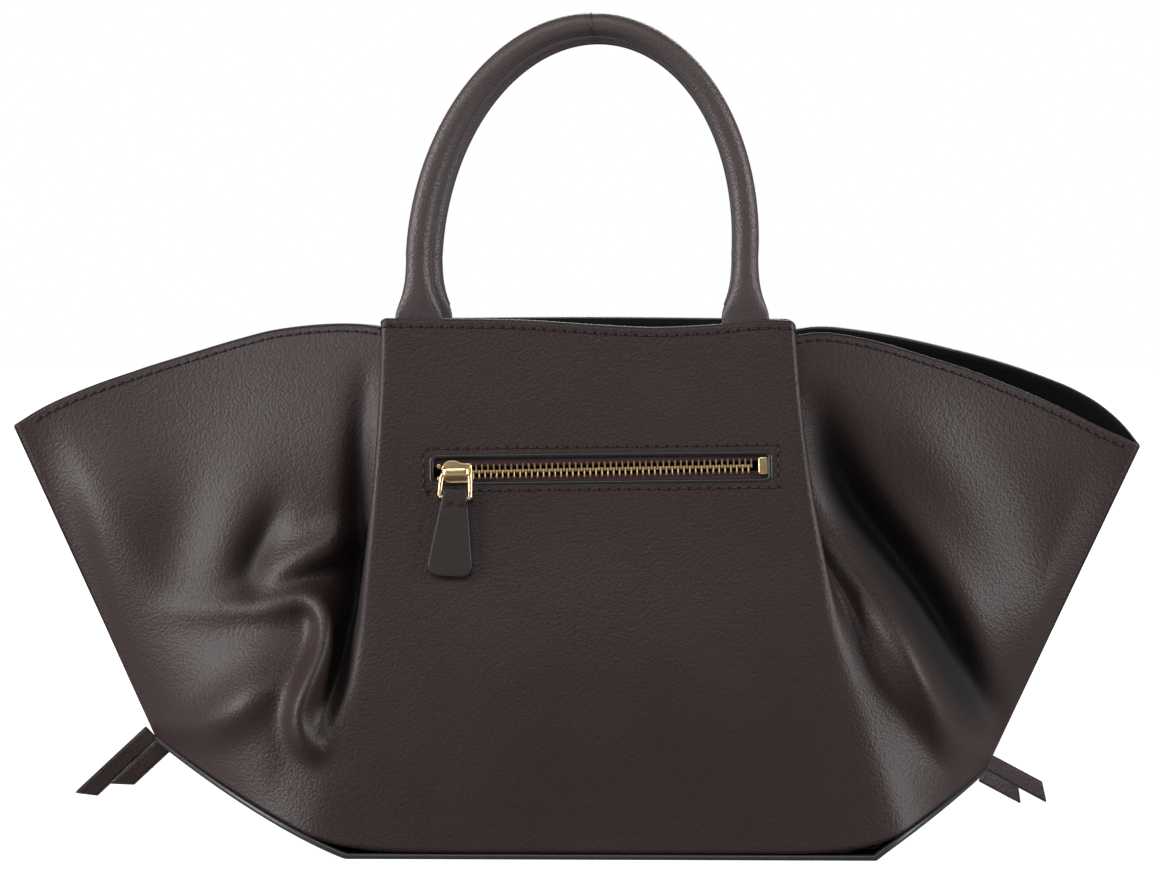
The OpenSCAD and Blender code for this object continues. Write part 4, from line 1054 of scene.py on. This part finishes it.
wire = smooth_path([(-6.35, 0, -11), (-6.4, 0, -8), (-6.25, 0, -5), (-5.9, 0, -2.4), (-5.0, 0, -0.7),
                    (-3.4, 0, 0.1), (-1.8, 0, 0), (0, 0, 0), (2.4, 0, 0), (4.2, 0, -0.1), (5.5, 0, -0.9),
                    (5.9, 0, -3), (6.2, 0, -7), (6.35, 0, -11)], 70)
wire_r = np.full(70, 0.95)
pin = np.array([(x, 0, -11) for x in (6.5, 5.5, 4.5, 3.5, 2.5)])
pins = [tube(pin * [sign, 1, 1], (0, 1, 0), 0.72, 0.72, 12) for sign in (-1, 1)]
points, faces = join(tube(wire, (0, 1, 0), wire_r, wire_r, 14), *pins)
piece_of("ring_wire", on_ring(points), faces, brass, ["pull_ring"], "ring", "brass")


# The tab. Two layers of leather are glued, cut to a long drop shape and painted round the edge.
# A bar of tight stitches closes the loop at its top.
def pared(points, top):
    """The tab's back edge at the top is cut away on a slant, so that it swings clear of the panel:
    z is at most the top less 0.85 times the depth past the front skin."""
    slant = top - 0.85 * np.maximum(points[:, 1:2] + 0.9, 0)
    return np.concatenate([points[:, :2], np.minimum(points[:, 2:], slant)], 1)


tab_line = corners([(-4.6, -8), (-9.9, -44), (9.9, -44), (4.6, -8)], [0.8, 6.2, 6.2, 0.8], 10)
tab_leather = pebbled("tab_leather", (0.026, 0.016, 0.0155), 0.8, 0.5, 0.5)
points, faces = slab(tab_line * [0.975, 1], -1.35, 1.35, 0.35)
piece_of("tab_leather", on_ring(pared(points, -8)), faces, tab_leather, ["pull_tab"], "tab", "body_leather")
loop = np.stack([tab_line[:, 0], tab_line[:, 0] * 0, tab_line[:, 1]], 1)
points, faces = tube(loop * [0.965, 1, 0.995] + [0, 0, -0.15], (0, -1, 0), 1.3, 0.42, 12, loop=True)
piece_of("tab_edge", on_ring(pared(points, -7.75)), faces, edge_paint, (), "tab", "edge_paint")
tab_out = on_ring(np.array([0, -1.0, 0])) - on_ring(np.array([0, 0.0, 0]))
bars = []
for z in (-12.9, -13.6, -14.3):
    bar = on_ring(np.stack([np.linspace(-2.5, 2.5, 9), np.full(9, -1.3), np.full(9, z)], 1))
    bars.append(stitches(bar, tab_out, 5.2, 4.6, 0.0, 0.36))
piece_of("tab_bar", *join(*[one[0] for one in bars]), thread, (), "tab")
# The needle holes of the tab carry painted shade.
piece_of("tab_hole_shade", *join(*[one[1] for one in bars]), hole_shade, (), "tab")


# The handles. A soft cord is rolled in leather, closed with a seam along the inside of the bend.
# Each end is pressed flat, widened and sewn behind the rim, so that the handles can fall outwards.
handle_leather = pebbled("handle_leather", (0.080, 0.060, 0.060), 1.1, 0.8, 0.38)
cord_mat = woven("cotton_cord", (0.30, 0.28, 0.26), 2000 * math.pi / 1.6, 2000 * math.pi / 3.0, 0.25)
flare_x = through([(219, 10), (224, 10), (227, 9.7), (230, 8.8), (233, 7.7), (236, 6.8), (240, 6.0),
                   (245, 5.5), (252, 5.3)])
flare_y = through([(219, 1.0), (224, 1.2), (227, 1.9), (230, 2.9), (234, 4.0), (239, 4.8), (245, 5.2),
                   (252, 5.3)])
arch_z, rise_z = 252, 97
leg_z = np.concatenate([np.linspace(219, 240, 22), np.linspace(241.5, 251, 7)])
arch_a = np.linspace(0, math.pi, 90)
arch = np.stack([-3 - 69 * np.cos(arch_a) + 5 * np.sin(arch_a), 0 * arch_a,
                 arch_z + rise_z * np.sin(arch_a)], 1)
legs = [np.stack([np.full(len(leg_z), x), 0 * leg_z, leg_z], 1) for x in leg_x]
spine = np.concatenate([legs[0], arch, legs[1][::-1]])
height = spine[:, 2]
roll = mix(5.4, 4.7, ease((height - arch_z) / rise_z))
low = height < arch_z
wide, deep = np.where(low, flare_x(height), roll), np.where(low, flare_y(height), roll)
crown = np.exp(-((np.arange(len(spine)) - len(leg_z) - 44.5) / 0.8) ** 2)
inside = unit(np.cross(unit(np.gradient(spine, axis=0)), [0, 1, 0]))
inside *= np.sign((inside * ([0, 0, 270] - spine)).sum(1, keepdims=True))
seam_rows = height > 229
for name, y in (("back_handle", -39.4), ("front_handle", 39.4)):
    points, faces = tube(spine, (0, 1, 0), deep - 0.25 * crown, wide - 0.25 * crown, 28)
    cover = link_mesh(name + "_cover", points + [0, y, 0], faces, handle_leather)
    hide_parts(name)
    line = (spine + inside * (wide - 0.1)[:, None])[seam_rows]
    points, faces = tube(line, (0, 1, 0), 0.75, 0.5, 8)
    seam = link_mesh(name + "_seam", points + [0, y, 0], faces, edge_paint)
    for piece in (cover, seam):
        y * MM
        y * MM
        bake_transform(piece)
    top, turn = spine[len(leg_z) + 44], np.linspace(0, 2 * math.pi, 40, endpoint=False)[:, None]
    ring = top + roll.min() * (np.cos(turn) * [0, 1, 0] + np.sin(turn) * [0, 0, 1])
    points, faces = tube(ring, ring - top, 0.28, 0.3, 6, loop=True)
    piece_of(name + "_join", points + [0, y, 0], faces, edge_paint, (), name, "edge_paint")
    core = spine[height > 240]
    turned = np.arange(len(core))
    points, faces = tube(core, (0, 1, 0), 2.7 + 0.1 * np.sin(turned), 2.7 + 0.1 * np.cos(turned), 10)
    piece_of(name + "_cord", points + [0, y, 0], faces, cord_mat, [name + "_core"], name, "handle_cord")
    tongues = []
    for x in leg_x:
        outline = corners([(x - 9.8, 200), (x + 9.8, 200), (x + 9.8, 224), (x - 9.8, 224)], 2.5, 4)
        p, f = slab(outline, -0.75, 0.75, 0.3)
        p[:, 1] += -39.4 - (224 - p[:, 2]) * math.tan(lean)
        tongues.append((p, f) if y < 0 else (p * [1, -1, 1], turned_over(f)))
    piece_of(name + "_roots", *join(*tongues), handle_leather, [name + "_tongues"], slot="handle_leather")


# The ties. At each lower corner two thin straps are caught in the seam, a long one over a short
# one. Their ends are cut at a slant, and their edges painted.
def strap_pair(end, drop, back_turn, straps, name):
    """The two straps of one corner, each a strip along x with a slant end and a little bow. They hang
    down by one angle and point back by another."""
    def place(p):
        """Points along, across and down a strap, put at the bag's corner."""
        a, b = math.radians(drop), math.radians(back_turn)
        x = p[..., 0] * math.cos(a) + p[..., 2] * math.sin(a)
        z = p[..., 2] * math.cos(a) - p[..., 0] * math.sin(a)
        out = end.corner[0] + 0.3 + x * math.cos(b)
        return np.stack([end.sign * out, p[..., 1] + x * math.sin(b), end.corner[1] + z], -1)

    skins, edges = [], []
    for near, far, near_length, far_length, bow, root in straps:
        u, w = np.meshgrid(np.linspace(0, 1, 36), np.linspace(0, 1, 8), indexing="ij")
        x = mix(root * w - 0.7, mix(near_length, far_length, w), u)
        y = bow * np.sin(math.pi * u * 0.9) * (1 - 0.5 * w) + 0.25 * np.sin(7 * u)
        grid = np.stack([x, y, mix(near, far, w)], -1)
        rim = np.concatenate([grid[:, 0], grid[-1, 1:-1], grid[::-1, -1], grid[0, -2:0:-1]])
        strap = thicken(grid.reshape(-1, 3), quads_of(36, 8), 0.7, 0.7)
        edge = tube(rim, (0, 1, 0), 0.85, 0.4, 8, loop=True)
        for made, (points, faces) in ((skins, strap), (edges, edge)):
            made.append((place(points), outward(place(points), faces)))
    bend = [tuple(place(np.array([x, 0.0, 0.0])) * MM) for x in (3.6, 6.4)]
    skin = link_mesh(name + "_straps", *join(*skins), leather)
    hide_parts(name[:-1] + "_roots", name[:-1] + "_ends")
    edge = link_mesh(name + "_strap_edges", *join(*edges), edge_paint)
    for piece, slot in ((skin, "body_leather"), (edge, "edge_paint")):
        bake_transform(piece)


strap_pair(LEFT, 43, 0, [(0.15, 7.3, 35, 41, 1.3, 0.0), (-0.15, -7.2, 27, 20, -0.8, -2.0)], "left_ties")
strap_pair(RIGHT, 24, 42, [(0.15, 7.0, 40, 34, 1.3, 0.0), (-0.15, -5.6, 21, 25, -0.8, -2.0)], "right_ties")


# The snap. A magnet in a brass cup on one facing meets a plate with a stud on the other. They are
# fixed in the middle of the mouth.
def turned_part(profile, sides=40):
    """A round part from a profile of radius and height, turned about the y axis."""
    radius, height = np.array(profile, float).T
    a = np.arange(sides) / sides * 2 * math.pi
    rings = np.stack([radius[:, None] * np.cos(a), np.broadcast_to(height[:, None], (len(radius), sides)),
                      radius[:, None] * np.sin(a)], -1).reshape(-1, 3)
    return rings, outward(rings, rings_of(len(radius), sides))


plate = [(0.05, 0), (7, 0), (7, 1.5), (6.8, 2.0), (6.3, 2.35), (5.2, 2.4)]
cup = plate + [(4.4, 2.2), (3.6, 1.2), (3.4, 1.0), (0.05, 1.0)]
stud = plate + [(3.3, 2.35), (2.8, 2.6), (2.75, 3.5), (2.4, 3.75), (0.05, 3.8)]
for name, profile, sign in (("snap_socket", cup, 1), ("snap_stud", stud, -1)):
    p, f = turned_part(profile)
    y = p[:, 1] * math.cos(lean) + p[:, 2] * math.sin(lean) - 40.83
    z = p[:, 2] * math.cos(lean) - p[:, 1] * math.sin(lean) + 209
    p = np.stack([p[:, 0], y * sign, z], 1)
    piece_of(name + "_disc", p, outward(p, f), brass, [name], slot="brass")
